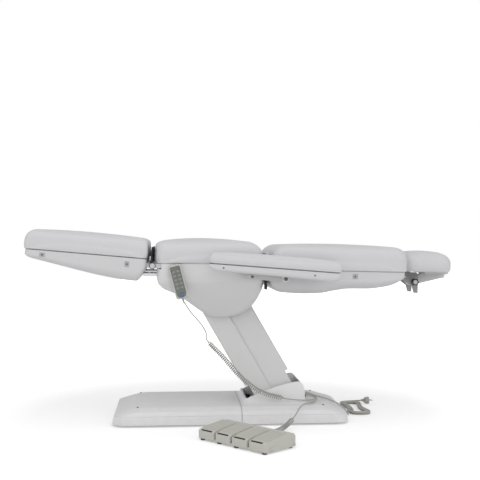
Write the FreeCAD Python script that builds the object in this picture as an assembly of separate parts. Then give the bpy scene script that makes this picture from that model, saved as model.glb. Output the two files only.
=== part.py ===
import FreeCAD, Part

import math
import os

from FreeCAD import Vector

# Powered treatment chair for foot care, lying flat as photographed.
# Millimetres, +Z up, +X towards the head, origin on the floor under the middle of the base.
# The near side, with the hand control, is -Y.

# Fits and cuts
REST_GAP = 0.3          # between pieces that rest against each other
PIN_GAP = 0.1           # round each hinge pin
OVERRUN = 30.0          # how far a cutting solid passes the faces that it cuts
SHEET = 4.0             # wall of the moulded covers and trays

# Base: a steel plate on five feet under two moulded covers
BASE_LENGTH = 1030.0
BASE_WIDTH = 490.0
BASE_HEIGHT = 77.0
BASE_CORNER = 62.0
BASE_FLOOR_GAP = 9.0
BASE_JOINT_X = 43.0     # where the front cover meets the rear cover
BASE_JOINT_GAP = 2.0
BASE_END_SLOPE = 95.0   # how far the top draws in at each end
BASE_SIDE_SLOPE = 45.0
PLATE_THICKNESS = 8.0
FOOT_HEIGHT = 12.0
FOOT_RADIUS = 25.0
FOOT_INSET = 75.0
# height, end draw-in and side draw-in of each level of the base cover
BASE_LEVEL_SHARES = ((0.0, 0.0, 0.0), (0.55, 0.10, 0.07), (0.79, 0.62, 0.22), (1.0, 1.0, 1.0))
COVER_SCREW_RADIUS = 5.0
COVER_SCREW_RISE = 1.2

# Housing on the rear cover, round the foot of the lift arm
BOOT_HALF_WIDTH = 135.0
BOOT_FRONT_X = 64.0
BOOT_LENGTH = 268.0
BOOT_RISE = 92.0        # above the base cover
# along the length, up the rise
BOOT_OUTLINE_SHARES = ((0.0, 0.0), (0.04, 0.23), (0.16, 0.40), (0.42, 0.68), (0.66, 0.88), (0.80, 0.97),
                       (0.90, 1.0), (0.965, 0.86), (1.0, 0.58), (1.0, 0.0))
SLOT_HALF_WIDTH = 127.0
SLOT_FRONT_X = 72.0
SLOT_REAR_X = 324.0
PLINTH_RISE = 23.0
PLINTH_SPREAD = 34.0

# Lift: a parallelogram of two arms between the base and the carriage
ARM_ANGLE = 60.0
ARM_REACH = 531.0
ARM_FOOT_X = 133.0
ARM_FOOT_Z = 130.0
ARM_SPACING = 114.0
LIFT_PIN_RADIUS = 12.0
BRACKET_INNER = 80.0
BRACKET_OUTER = 89.0
BRACKET_MARGIN = 26.0
BAR_INNER = 56.0
BAR_OUTER = 72.0
MAIN_BAR_FRONT = 32.0
MAIN_BAR_BACK = 20.0
TIE_BAR_HALF = 14.0
WEB_THICKNESS = 6.0
WEB_START = 60.0
SPREADER_START = 84.0
SPREADER_LENGTH = 15.0
FRONT_COVER_HALF = 120.0
FRONT_COVER_FACE = 47.0
FRONT_COVER_SHEET = 4.0
FRONT_COVER_START = 50.0
REAR_COVER_HALF = 112.0
REAR_COVER_FACE = 58.0
REAR_COVER_REACH = 73.0
REAR_COVER_START = 76.0
COVER_SKIRT = 20.0      # how far the cover's sides pass the foot pins
COVER_END = 482.0
ARM_RIB_HALF = 6.0

# Actuators: a tube on a pin, with a rod that slides out of it
LIFT_TUBE_RADIUS = 22.0
LIFT_ROD_RADIUS = 11.0
SMALL_TUBE_RADIUS = 15.0
SMALL_ROD_RADIUS = 8.5
EYE_RADIUS = 13.0
EYE_HALF = 9.0
EYE_PIN_RADIUS = 6.0
EAR_THICKNESS = 5.0
EAR_GAP = 0.5
TUBE_SHARE = 0.62       # of the distance between the pins at rest
ROD_OVERLAP = 72.0
TILT_ROD_OVERLAP = 42.0
BACK_ROD_OVERLAP = 150.0

# Carriage: stays level on the arms and carries the seat's tilt pin
TILT_X = -75.0
TILT_Z = 640.0
TILT_PIN_RADIUS = 12.0
CARRIAGE_MARGIN = 24.0
CARRIAGE_FRONT_X = -178.0
CARRIAGE_TIE_HALF = 25.0
CARRIAGE_TIE_Z = 613.0
CARRIAGE_TIE_THICKNESS = 10.0
TILT_TUBE_X = -196.0
TILT_TUBE_Z = 562.0
TILT_ROD_X = -280.0
TILT_ROD_Z = 657.0

# Seat
SEAT_FRONT_X = -339.0
SEAT_REAR_X = 139.0
SEAT_SEAM_Z = 700.0
SEAT_HALF_WIDTH = 300.0
SEAT_PAD_HEIGHT = 93.0
SEAT_PAD_CROWN = 13.0
SEAT_END_ROLL = 88.0
SEAT_ROLL = 34.0
PAD_CORNER = 42.0
PAD_SEAM_DRAW = 7.0
SHELL_LENGTH = 459.0
SHELL_FRONT_X = -322.0
SHELL_HALF_WIDTH = 285.0
SHELL_DEPTH = 235.0
SHELL_CORNER = 36.0
# depth, front draw-in and rear draw-in of the length, share of the half width
SHELL_LEVEL_SHARES = ((0.0, 0.0, 0.0, 1.0), (0.15, 0.0, 0.0, 1.0), (0.32, 0.004, 0.004, 0.985),
                      (0.44, 0.045, 0.010, 0.935), (0.58, 0.19, 0.035, 0.855), (0.80, 0.345, 0.10, 0.715),
                      (0.94, 0.444, 0.19, 0.62), (1.0, 0.50, 0.27, 0.575))
SHELL_SLOT_X = -225.0
SHELL_SLOT_Z = 650.0
RAIL_INNER = 130.0
RAIL_OUTER = 158.0
RAIL_DEPTH = 46.0
CROSS_DEPTH = 22.0
CROSS_WIDTH = 26.0
TILT_CROSS_HALF = 20.0
TILT_EAR_INNER = 94.0
TILT_EAR_OUTER = 104.0

# Leg sections, one for each leg, on pins at the seat's front edge
LEG_PIN_X = -340.0
LEG_PIN_Z = 690.5
LEG_TILT = 5.0          # foot end up, as photographed
LEG_PIN_RADIUS = 5.0
LEG_EAR_RADIUS = 9.0
LEG_SPLIT = 8.0
LEG_INNER_EAR = 30.0
LEG_OUTER_EAR = 271.0
LEG_EAR_WIDTH = 8.0
LEG_DISC_RADIUS = 12.0
LEG_DISC_THICKNESS = 4.0
LEG_PAD_START = 17.0
LEG_PAD_LENGTH = 531.0
LEG_PAD_HEIGHT = 84.0
LEG_PAD_CROWN = 8.0
LEG_SEAM_RISE = 26.0
LEG_TRAY_START = 26.0
LEG_TRAY_LENGTH = 508.0
LEG_TRAY_DEPTH = 95.0
LEG_TRAY_INSET = 6.0
# along the tray from its hinge end, down its depth
LEG_TRAY_SHARES = ((0.0, 0.0), (0.0, 0.50), (0.022, 0.69), (0.072, 1.0), (1.0, 0.34), (1.0, 0.0))
LEG_BAR_HALF = 9.0
LEG_BAR_LENGTH = 470.0
LEG_CROSS_WIDTH = 30.0
LEG_CROSS_THICKNESS = 12.0
LEG_CROSSES = 4
LEG_LUG_ALONG = 56.6
LEG_LUG_DROP = 41.0
LEG_DRIVE_Y = 178.0
LEG_DRIVE_X = -90.0
LEG_DRIVE_Z = 650.0

# Backrest, on a tube across the gap behind the seat
BACK_PIN_X = 151.0
BACK_PIN_Z = 742.0
BACK_TILT = 1.4         # head end down, as photographed
BACK_TUBE_RADIUS = 5.0
BACK_PAD_START = 11.0
BACK_PAD_LENGTH = 608.0
BACK_PAD_HEIGHT = 104.0
BACK_PAD_CROWN = 9.0
BACK_SEAM_DROP = 68.0
BACK_END_ROLL = 58.0
BACK_TRAY_START = 2.0
BACK_TRAY_SHORTER = 10.0  # the tray than its pad
BACK_TRAY_LENGTH = BACK_PAD_LENGTH - BACK_TRAY_SHORTER
BACK_TRAY_DEPTH = 102.0
BACK_TRAY_INSET = 14.0
# along the tray from its seat end, down its depth
BACK_TRAY_SHARES = ((0.035, 0.0), (0.030, 0.30), (0.0, 0.82), (0.10, 0.96), (0.26, 1.0), (0.39, 0.965),
                    (0.50, 0.84), (0.60, 0.755), (0.75, 0.735), (0.85, 0.655), (0.93, 0.54), (1.0, 0.36),
                    (1.0, 0.0))
BACK_EAR_INNER = 269.0
BACK_EAR_WIDTH = 6.0
SEAT_EAR_INNER = 262.0
HINGE_EAR_HALF = 8.0
BACK_RAIL_Y = 150.0
BACK_RAIL_HALF = 12.0
BACK_RAIL_DEPTH = 30.0
BACK_CROSS_WIDTH = 30.0
BACK_CROSSES = 4
BACK_LUG_ALONG = 38.0
BACK_LUG_DROP = 141.0
BACK_DRIVE_Y = 216.0
BACK_DRIVE_X = -150.0
BACK_DRIVE_Z = 575.0

# Headrest, on a clamped pin behind the backrest
HEAD_TRAY_END = BACK_TRAY_START + BACK_TRAY_LENGTH
HEAD_PIN_BEYOND = 99.0   # the pin from the backrest tray's end
HEAD_PIN_ALONG = HEAD_TRAY_END + HEAD_PIN_BEYOND
HEAD_PIN_DROP = 117.0
HEAD_PIN_RADIUS = 7.0
HEAD_PLATE_INNER = 50.0
HEAD_PLATE_WIDTH = 6.0
HEAD_PLATE_LAP = 25.0    # of the bracket plates inside the tray
HEAD_PLATE_START = HEAD_TRAY_END - HEAD_PLATE_LAP
HEAD_LUG_DROP = 50.0
HEAD_LUG_WIDTH = 19.0
HEAD_BEAM_HALF = 18.0
HEAD_BEAM_LENGTH = 152.0
HEAD_BOARD_BEYOND = 41.0  # the board from the pin
HEAD_BOARD_START = HEAD_PIN_ALONG + HEAD_BOARD_BEYOND
HEAD_BOARD_LENGTH = 106.0
HEAD_BOARD_HALF = 92.0
HEAD_BOARD_THICKNESS = 8.0
PILLOW_GAP = 13.0        # from the backrest pad to the pillow
PILLOW_START = BACK_PAD_START + BACK_PAD_LENGTH + PILLOW_GAP
PILLOW_LENGTH = 222.0
PILLOW_HALF_WIDTH = 160.0
PILLOW_HEIGHT = 84.0
PILLOW_CROWN = 8.0
PILLOW_ROLL = 36.0
KNOB_RADIUS = 16.0
KNOB_LENGTH = 26.0
KNOB_LOBES = 6

# Armrests, each on a pin behind the seat
ARMREST_PIN_X = 217.0
ARMREST_PIN_Z = 637.0
ARMREST_TILT = 4.45     # front end up, as photographed
ARMREST_PIN_RADIUS = 8.0
ARMREST_INNER = 330.0
ARMREST_WIDTH = 100.0
ARMREST_PAD_START = -334.0
ARMREST_PAD_LENGTH = 565.0
ARMREST_PAD_HEIGHT = 51.0
ARMREST_PAD_CROWN = 4.0
ARMREST_SEAM_RISE = 41.0
ARMREST_ROLL = 24.0
ARMREST_TRAY_START = -328.0
ARMREST_TRAY_LENGTH = 552.0
ARMREST_TRAY_DEPTH = 36.0
ARMREST_TRAY_INSET = 6.0
ARMREST_TRAY_SHARES = ((0.0, 0.0), (0.005, 0.35), (0.045, 0.72), (0.12, 0.78), (0.52, 0.86), (0.94, 1.0),
                       (0.985, 0.62), (1.0, 0.0))
ARMREST_EAR_INNER = 345.0
ARMREST_EAR_WIDTH = 20.0
ARMREST_EAR_HALF = 15.0
BRACKET_PLATE_INNER = 306.0
BRACKET_PLATE_WIDTH = 8.0
ARMREST_PLATE_FRONT_X = 50.0
ARMREST_PLATE_TOP_Z = 690.0
ARMREST_PLATE_HALF = 14.0
ARMREST_STUB_X = 40.0
ARMREST_STUB_HALF = 18.0
ARMREST_STUB_Z = 668.0
ARMREST_STUB_HEIGHT = 22.0
ARMREST_STOP_X = 76.0
ARMREST_STOP_RADIUS = 7.0

# Hand control, hooked over the near side of the seat shell
HAND_TOP_X = -249.0
HAND_TOP_Z = 695.0
HAND_TILT = -14.7       # its top leans to the foot end
HAND_LENGTH = 146.0
HAND_WIDTH = 54.0
HAND_THICKNESS = 23.0
HAND_CORNER = 12.0
HAND_FACE_Y = 313.0
# height, draw-in of the corner radius
HAND_LEVEL_SHARES = ((0.0, 0.25), (0.16, 0.0), (0.75, 0.0), (1.0, 0.33))
KEYPAD_LENGTH = 104.0
KEYPAD_WIDTH = 38.0
KEYPAD_RISE = 1.0
KEYPAD_TOP = 12.0
KEY_ROWS = 5
KEY_COLUMNS = 2
KEY_RADIUS = 6.0
KEY_RISE = 1.2
KEY_PITCH = 18.0
STOP_KEY_RADIUS = 10.0
STOP_KEY_RISE = 3.0
STOP_KEY_DEPTH = 5.0
STOP_KEY_ALONG = 129.0
HAND_GLAND_RADIUS = 5.5
HAND_GLAND_LENGTH = 10.0
HOOK_WIDTH = 22.0
HOOK_HEIGHT = 26.0
HOOK_ALONG = 34.0

# Foot control, standing on the floor beside the base
PEDALS = 4
PEDAL_PITCH = 92.0
PEDAL_WIDTH = 82.0
FOOT_BOX_DEPTH = 166.0
FOOT_BOX_RISE = 4.0
FOOT_BOX_FRONT = 30.0
FOOT_BOX_REAR = 58.0
FOOT_BOX_WALL = 5.0
FOOT_BOX_FLOOR = 8.0
FOOT_BOX_X = 34.0
FOOT_BOX_Y = -566.0
FOOT_BOX_TURN = -49.4
FOOT_PAD_RADIUS = 9.0
PEDAL_PIN_BACK = 44.0   # hinge line, in front of the rear wall
PEDAL_PIN_Z = 38.0
PEDAL_PIN_RADIUS = 3.0
PEDAL_FRONT_Z = 43.0
PEDAL_REAR_Z = 62.0
PEDAL_THICKNESS = 8.0

# Cords
CORD_RADIUS = 2.6
CURL_WIRE_RADIUS = 2.2
CURL_RADIUS = 8.6
HAND_CURLS = 48
FOOT_CURLS = 26
MAINS_RADIUS = 3.5
CORD_PORT_LENGTH = 8.0
CORD_PORT_RADIUS = 7.0
CORD_PORT_Z = 102.0
HAND_PORT_Y = -96.0
FOOT_PORT_Y = -60.0
MAINS_PORT_Y = -24.0
HANK_LOOPS = 6
HANK_LENGTH = 292.0
HANK_WIDTH = 104.0
HANK_WAIST_SHARE = 0.36  # half waist, of the width
HANK_STEP = 7.8
HANK_X = 606.0
HANK_Y = 96.0
HANK_TAIL = 44.0        # from the hank to the plug
CORD_ARC_SHARE = 0.45   # of a run that each bend takes
PLUG_RADIUS = 17.0
PLUG_LENGTH = 38.0
PLUG_PIN_RADIUS = 2.4
PLUG_PIN_LENGTH = 19.0
PLUG_PIN_SPACING = 19.0

Y_AXIS = Vector(0, 1, 0)
Z_AXIS = Vector(0, 0, 1)
CORNER_LIMIT_SHARE = 0.46
DIAGONAL = math.sqrt(0.5)


# Shared shapes

def box(x_from, x_to, y_from, y_to, z_from, z_to):
    corner = Vector(min(x_from, x_to), min(y_from, y_to), min(z_from, z_to))
    return Part.makeBox(abs(x_to - x_from), abs(y_to - y_from), abs(z_to - z_from), corner)


def rod_y(x, z, radius, y_from, y_to):
    """A round bar across the chair."""
    return Part.makeCylinder(radius, abs(y_to - y_from), Vector(x, min(y_from, y_to), z), Y_AXIS)


def rod_between(start, end, radius):
    along = end.sub(start)
    return Part.makeCylinder(radius, along.Length, start, along)


def side_prism(points, y_from, y_to):
    """An outline of x and z points, extruded across the chair."""
    corners = [Vector(x, min(y_from, y_to), z) for x, z in points]
    face = Part.Face(Part.makePolygon(corners + corners[:1]))
    return face.extrude(Vector(0, abs(y_to - y_from), 0))


def inset_points(points, distance):
    """Move every side of a closed outline inwards by one distance."""
    count = len(points)
    pairs = [(points[i], points[(i + 1) % count]) for i in range(count)]
    turned = math.copysign(1, sum(a[0] * b[1] - b[0] * a[1] for a, b in pairs))
    lines = []
    for (x0, z0), (x1, z1) in pairs:
        length = math.hypot(x1 - x0, z1 - z0)
        across_x = -(z1 - z0) / length * turned * distance
        across_z = (x1 - x0) / length * turned * distance
        lines.append((x0 + across_x, z0 + across_z, x1 - x0, z1 - z0))
    moved = []
    for i in range(count):
        ax, az, adx, adz = lines[i - 1]
        bx, bz, bdx, bdz = lines[i]
        share = ((bx - ax) * bdz - (bz - az) * bdx) / (adx * bdz - adz * bdx)
        moved.append((ax + adx * share, az + adz * share))
    return moved


def rounded_rectangle(x_from, x_to, y_from, y_to, z, corner):
    """A level wire with a quarter arc at each corner."""
    r = min(corner, (x_to - x_from) * CORNER_LIMIT_SHARE, (y_to - y_from) * CORNER_LIMIT_SHARE)
    centres = [(x_to - r, y_to - r, 0), (x_from + r, y_to - r, 1),
               (x_from + r, y_from + r, 2), (x_to - r, y_from + r, 3)]
    arcs = []
    for cx, cy, quarter in centres:
        turns = [math.radians(90 * quarter + 45 * step) for step in range(3)]
        arcs.append([Vector(cx + r * math.cos(t), cy + r * math.sin(t), z) for t in turns])
    edges = []
    for i in range(4):
        edges.append(Part.Arc(*arcs[i]).toShape())
        edges.append(Part.LineSegment(arcs[i][2], arcs[(i + 1) % 4][0]).toShape())
    return Part.Wire(edges)


def tilted(shape, x, z, degrees):
    """Turn a shape about a level pin; its rear end goes down for a positive angle."""
    turned = shape.copy()
    turned.rotate(Vector(x, 0, z), Y_AXIS, degrees)
    return turned


def mirrored(shape, side):
    """The shape as built for +Y, or its mirror image for the near side."""
    return shape if side > 0 else shape.mirror(Vector(0, 0, 0), Y_AXIS)


def joined(shapes):
    whole = shapes[0].fuse(shapes[1:]) if len(shapes) > 1 else shapes[0]
    return whole.removeSplitter()


def without(shape, cutters):
    return shape.cut(joined(cutters) if len(cutters) > 1 else cutters[0])


# height, share of the edge roll, share of the seam's draw-in
PAD_SIDE_SHARES = ((0.0, 0.0, 1.0), (0.10, 0.0, 0.35), (0.28, 0.0, 0.0), (0.55, 0.03, 0.0), (0.74, 0.14, 0.0),
                   (0.88, 0.38, 0.0), (0.96, 0.66, 0.0), (1.0, 1.0, 0.0))
# share of the crown, share of the way to the middle
PAD_CROWN_SHARES = ((0.45, 0.16), (0.80, 0.38), (1.0, 0.66))


def cushion(x_span, y_span, z_seam, height, crown, roll, end_rolls, corner):
    """A stuffed pad: drawn in at its seam, rolled over at its edges and crowned on top."""
    x_from, x_to = x_span
    y_from, y_to = y_span
    sections = []
    for rise, rolled, drawn in PAD_SIDE_SHARES:
        draw = PAD_SEAM_DRAW * drawn
        sections.append(rounded_rectangle(
            x_from + draw + end_rolls[0] * rolled, x_to - draw - end_rolls[1] * rolled,
            y_from + draw + roll * rolled, y_to - draw - roll * rolled, z_seam + height * rise, corner))
    x_middle = (x_to - end_rolls[1] - x_from - end_rolls[0]) / 2
    y_middle = (y_to - y_from - roll * 2) / 2
    for rise, way in PAD_CROWN_SHARES:
        x_draw = x_middle * way * way
        y_draw = y_middle * way
        sections.append(rounded_rectangle(
            x_from + end_rolls[0] + x_draw, x_to - end_rolls[1] - x_draw,
            y_from + roll + y_draw, y_to - roll - y_draw, z_seam + height + crown * rise, corner))
    return Part.makeLoft(sections, True, True)


def tray_points(shares, start, length, top, depth):
    return [(start + length * along, top - depth * down) for along, down in shares]


def tray(shares, x_start, length, z_top, depth, y_from, y_to):
    """A moulded tray, open at its top, with one wall thickness all round."""
    outer = tray_points(shares, x_start, length, z_top, depth)
    raised = [(x, z + OVERRUN if down == 0 else z) for (x, z), (along, down) in zip(outer, shares)]
    inner = side_prism(inset_points(raised, SHEET), y_from + SHEET, y_to - SHEET)
    return side_prism(outer, y_from, y_to).cut(inner)


# Base

def base_level(rise, ends, sides, wall):
    return rounded_rectangle(
        -BASE_LENGTH / 2 + BASE_END_SLOPE * ends + wall, BASE_LENGTH / 2 - BASE_END_SLOPE * ends - wall,
        -BASE_WIDTH / 2 + BASE_SIDE_SLOPE * sides + wall, BASE_WIDTH / 2 - BASE_SIDE_SLOPE * sides - wall,
        BASE_FLOOR_GAP + (BASE_HEIGHT - BASE_FLOOR_GAP - wall) * rise, BASE_CORNER - wall)


def plinth():
    """The flare from the base cover up to the boot."""
    x_end = BOOT_FRONT_X + BOOT_LENGTH
    spread = PLINTH_SPREAD
    low = rounded_rectangle(BOOT_FRONT_X - spread / 2, x_end + spread / 2, -BOOT_HALF_WIDTH - spread,
                            BOOT_HALF_WIDTH + spread, BASE_HEIGHT - SHEET, SHEET * 3)
    high = rounded_rectangle(BOOT_FRONT_X, x_end, -BOOT_HALF_WIDTH, BOOT_HALF_WIDTH,
                             BASE_HEIGHT + PLINTH_RISE, SHEET * 3)
    foot = box(BOOT_FRONT_X, x_end, -BOOT_HALF_WIDTH, BOOT_HALF_WIDTH, BASE_HEIGHT - SHEET * 2, BASE_HEIGHT)
    return joined([Part.makeLoft([low, high], True, True), foot])


def base_covers():
    outer = Part.makeLoft([base_level(*level, 0) for level in BASE_LEVEL_SHARES], True, True)
    inner = Part.makeLoft([base_level(*level, SHEET) for level in BASE_LEVEL_SHARES], True, True)
    below = rounded_rectangle(-BASE_LENGTH / 2 + SHEET, BASE_LENGTH / 2 - SHEET, -BASE_WIDTH / 2 + SHEET,
                              BASE_WIDTH / 2 - SHEET, BASE_FLOOR_GAP, BASE_CORNER - SHEET)
    open_foot = Part.Face(below).extrude(Vector(0, 0, -OVERRUN))
    sunk, rise = BASE_HEIGHT - SHEET / 2, BOOT_RISE + SHEET / 2
    boot_points = [(BOOT_FRONT_X + BOOT_LENGTH * along, sunk + rise * up) for along, up in BOOT_OUTLINE_SHARES]
    boot = side_prism(boot_points, -BOOT_HALF_WIDTH, BOOT_HALF_WIDTH)
    whole = joined([outer.cut(joined([inner, open_foot])), boot, plinth()])
    slot = box(SLOT_FRONT_X, SLOT_REAR_X, -SLOT_HALF_WIDTH, SLOT_HALF_WIDTH,
               BASE_FLOOR_GAP, BASE_HEIGHT + BOOT_RISE + OVERRUN)
    hollow = box(BOOT_FRONT_X - PLINTH_SPREAD / 4, BOOT_FRONT_X + BOOT_LENGTH - SHEET,
                 -BOOT_HALF_WIDTH + SHEET, BOOT_HALF_WIDTH - SHEET, BASE_FLOOR_GAP, BASE_HEIGHT)
    whole = whole.cut(joined([slot, hollow]))
    screws = [Part.makeCylinder(COVER_SCREW_RADIUS, SHEET + COVER_SCREW_RISE,
                                Vector(x, y, BASE_HEIGHT - SHEET))
              for x, y in cover_screw_places()]
    whole = joined([whole] + screws)
    half_gap = BASE_JOINT_GAP / 2
    front = whole.common(box(-BASE_LENGTH, BASE_JOINT_X - half_gap, -BASE_WIDTH, BASE_WIDTH, 0, BASE_LENGTH))
    rear = whole.common(box(BASE_JOINT_X + half_gap, BASE_LENGTH, -BASE_WIDTH, BASE_WIDTH, 0, BASE_LENGTH))
    ports = []
    for y in (HAND_PORT_Y, FOOT_PORT_Y, MAINS_PORT_Y):
        ports.append(Part.makeCylinder(CORD_PORT_RADIUS, CORD_PORT_LENGTH + SHEET,
                                       Vector(BOOT_FRONT_X + BOOT_LENGTH - SHEET, y, CORD_PORT_Z),
                                       Vector(1, 0, 0)))
    return front, joined([rear] + ports)


def cover_screw_places():
    """Screw heads on the flat of the covers, two near each end."""
    x_flat = BASE_LENGTH / 2 - BASE_END_SLOPE - COVER_SCREW_RADIUS * 3
    y_flat = BASE_WIDTH / 2 - BASE_SIDE_SLOPE - COVER_SCREW_RADIUS * 3
    return [(sx * x_flat, sy * y_flat) for sx in (-1, 1) for sy in (-1, 1)]


def foot_pins():
    return [(ARM_FOOT_X, ARM_FOOT_Z), (ARM_FOOT_X + ARM_SPACING, ARM_FOOT_Z)]


def head_pins():
    angle = math.radians(ARM_ANGLE)
    return [(x - ARM_REACH * math.cos(angle), z + ARM_REACH * math.sin(angle)) for x, z in foot_pins()]


def base_plate():
    """The plate that fills the covers at the height of its top, with the arms' brackets."""
    top = FOOT_HEIGHT + PLATE_THICKNESS
    wall = SHEET + REST_GAP
    rise, ends, sides = BASE_LEVEL_SHARES[1]
    drawn = (top - BASE_FLOOR_GAP) / (BASE_HEIGHT - BASE_FLOOR_GAP - SHEET) / rise
    x_half = BASE_LENGTH / 2 - BASE_END_SLOPE * ends * drawn - wall
    y_half = BASE_WIDTH / 2 - BASE_SIDE_SLOPE * sides * drawn - wall
    outline = rounded_rectangle(-x_half, x_half, -y_half, y_half, FOOT_HEIGHT, BASE_CORNER - wall)
    plate = Part.Face(outline).extrude(Vector(0, 0, PLATE_THICKNESS))
    (x1, z1), (x2, z2) = foot_pins()
    m = BRACKET_MARGIN
    outline = [(x1 - m, top - SHEET / 2), (x1 - m, z1 + m / 2), (x1 - m / 2, z1 + m), (x2 + m / 2, z2 + m),
               (x2 + m, z2 + m / 2), (x2 + m, top - SHEET / 2)]
    pieces = [plate]
    for side in (-1, 1):
        pieces.append(side_prism(outline, side * BRACKET_INNER, side * BRACKET_OUTER))
    for x, z in foot_pins():
        pieces.append(rod_y(x, z, LIFT_PIN_RADIUS, -BRACKET_OUTER, BRACKET_OUTER))
    return joined(pieces)


def levelling_feet():
    """One foot near each corner of the plate and one under its middle."""
    x_foot = BASE_LENGTH / 2 - FOOT_INSET
    y_foot = BASE_WIDTH / 2 - FOOT_INSET
    feet = [Part.makeCylinder(FOOT_RADIUS, FOOT_HEIGHT, Vector(0, 0, 0))]
    for sx in (-1, 1):
        for sy in (-1, 1):
            feet.append(Part.makeCylinder(FOOT_RADIUS, FOOT_HEIGHT, Vector(sx * x_foot, sy * y_foot, 0)))
    return Part.makeCompound(feet)


# Lift arms and their covers, built along +X with the front face up, then set on their foot pins

def set_on_arm(shape, pin):
    placed = shape.copy()
    placed.rotate(Vector(0, 0, 0), Y_AXIS, ARM_ANGLE - 180)
    placed.translate(Vector(pin[0], 0, pin[1]))
    return placed


def arm_bars(front, back):
    round_end = min(front, back)
    bars = []
    for side in (-1, 1):
        y_from, y_to = side * BAR_INNER, side * BAR_OUTER
        bars.append(box(0, ARM_REACH, y_from, y_to, -back, front))
        bars.append(rod_y(0, 0, round_end, y_from, y_to))
        bars.append(rod_y(ARM_REACH, 0, round_end, y_from, y_to))
    return bars


def arm_holes():
    reach = BAR_OUTER + OVERRUN
    return [rod_y(x, 0, LIFT_PIN_RADIUS + PIN_GAP, -reach, reach) for x in (0, ARM_REACH)]


def spreader_starts():
    return (SPREADER_START, COVER_END - SPREADER_START / 2)


def main_arm():
    pieces = arm_bars(MAIN_BAR_FRONT, MAIN_BAR_BACK)
    pieces.append(box(WEB_START, ARM_REACH - WEB_START, -BAR_OUTER, BAR_OUTER,
                      MAIN_BAR_FRONT - WEB_THICKNESS, MAIN_BAR_FRONT))
    for start in spreader_starts():
        pieces.append(box(start, start + SPREADER_LENGTH, -BAR_OUTER, BAR_OUTER,
                          MAIN_BAR_FRONT - WEB_THICKNESS,
                          FRONT_COVER_FACE - FRONT_COVER_SHEET - REST_GAP))
    return set_on_arm(without(joined(pieces), arm_holes()), foot_pins()[0])


def tie_arm():
    pieces = arm_bars(TIE_BAR_HALF, TIE_BAR_HALF)
    pieces.append(box(WEB_START, ARM_REACH - WEB_START, -BAR_OUTER, BAR_OUTER,
                      -TIE_BAR_HALF, -TIE_BAR_HALF + WEB_THICKNESS))
    for start in spreader_starts():
        pieces.append(box(start, start + SPREADER_LENGTH, -BAR_OUTER, BAR_OUTER,
                          -REAR_COVER_FACE + FRONT_COVER_SHEET + REST_GAP, -TIE_BAR_HALF + WEB_THICKNESS))
    return set_on_arm(without(joined(pieces), arm_holes()), foot_pins()[1])


def channel(half_width, face, edge, start, face_start):
    """A cover of one face and two sides, its face towards +Z at the given height."""
    outer_corner = FRONT_COVER_SHEET * 3
    block = box(start, COVER_END, -half_width, half_width, edge, face)
    long_edges = [e for e in block.Edges
                  if abs(e.BoundBox.XLength - (COVER_END - start)) < FRONT_COVER_SHEET / 8
                  and abs(e.BoundBox.ZMax - face) < FRONT_COVER_SHEET / 8]
    block = block.makeFillet(outer_corner, long_edges)
    inner = box(start - OVERRUN, COVER_END + OVERRUN, -half_width + FRONT_COVER_SHEET,
                half_width - FRONT_COVER_SHEET, edge - OVERRUN, face - FRONT_COVER_SHEET)
    inner_edges = [e for e in inner.Edges
                   if e.BoundBox.XLength > COVER_END - start
                   and abs(e.BoundBox.ZMax - face + FRONT_COVER_SHEET) < FRONT_COVER_SHEET / 8]
    inner = inner.makeFillet(outer_corner - FRONT_COVER_SHEET, inner_edges)
    notch = box(start - OVERRUN, face_start, -half_width - OVERRUN, half_width + OVERRUN,
                face - outer_corner - FRONT_COVER_SHEET, face + OVERRUN)
    return block.cut(joined([inner, notch]))


def front_cover():
    edge = REST_GAP - FRONT_COVER_FACE
    cover = channel(FRONT_COVER_HALF, FRONT_COVER_FACE, edge, -COVER_SKIRT, FRONT_COVER_START)
    return set_on_arm(cover, foot_pins()[0])


def rear_cover():
    cover = channel(REAR_COVER_HALF, REAR_COVER_FACE, -REAR_COVER_REACH, -COVER_SKIRT, REAR_COVER_START)
    cover.rotate(Vector(0, 0, 0), Vector(1, 0, 0), 180)
    return set_on_arm(cover, foot_pins()[1])


# Actuators

def point_on(start, end, distance):
    along = end.sub(start)
    return start.add(along.multiply(distance / along.Length))


def actuator(start, end, y, radii, pin_radius, overlap):
    """The tube and the rod of one actuator, between two pins given as x and z."""
    tube_radius, rod_radius = radii
    tail = Vector(start[0], y, start[1])
    tip = Vector(end[0], y, end[1])
    reach = tip.sub(tail).Length
    eye = pin_radius + EYE_RADIUS - EYE_PIN_RADIUS
    neck = EYE_HALF * 0.8
    tube_start, tube_end = eye + EYE_RADIUS * 0.8, reach * TUBE_SHARE
    tube = joined([
        rod_between(point_on(tail, tip, tube_start), point_on(tail, tip, tube_end), tube_radius),
        rod_between(tail, point_on(tail, tip, tube_start + neck / 2), neck),
        rod_y(start[0], start[1], eye, y - EYE_HALF, y + EYE_HALF)])
    bore = rod_between(point_on(tail, tip, tube_start + neck), point_on(tail, tip, reach),
                       rod_radius + REST_GAP)
    hole = rod_y(start[0], start[1], pin_radius + PIN_GAP, y - OVERRUN, y + OVERRUN)
    rod_end = reach - EYE_RADIUS * 1.6
    rod = joined([
        rod_between(point_on(tail, tip, tube_end - overlap), point_on(tail, tip, rod_end), rod_radius),
        rod_between(point_on(tail, tip, reach - EYE_RADIUS * 2.5), tip, neck),
        rod_y(end[0], end[1], EYE_RADIUS, y - EYE_HALF, y + EYE_HALF)])
    return without(tube, [bore, hole]), rod


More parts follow.
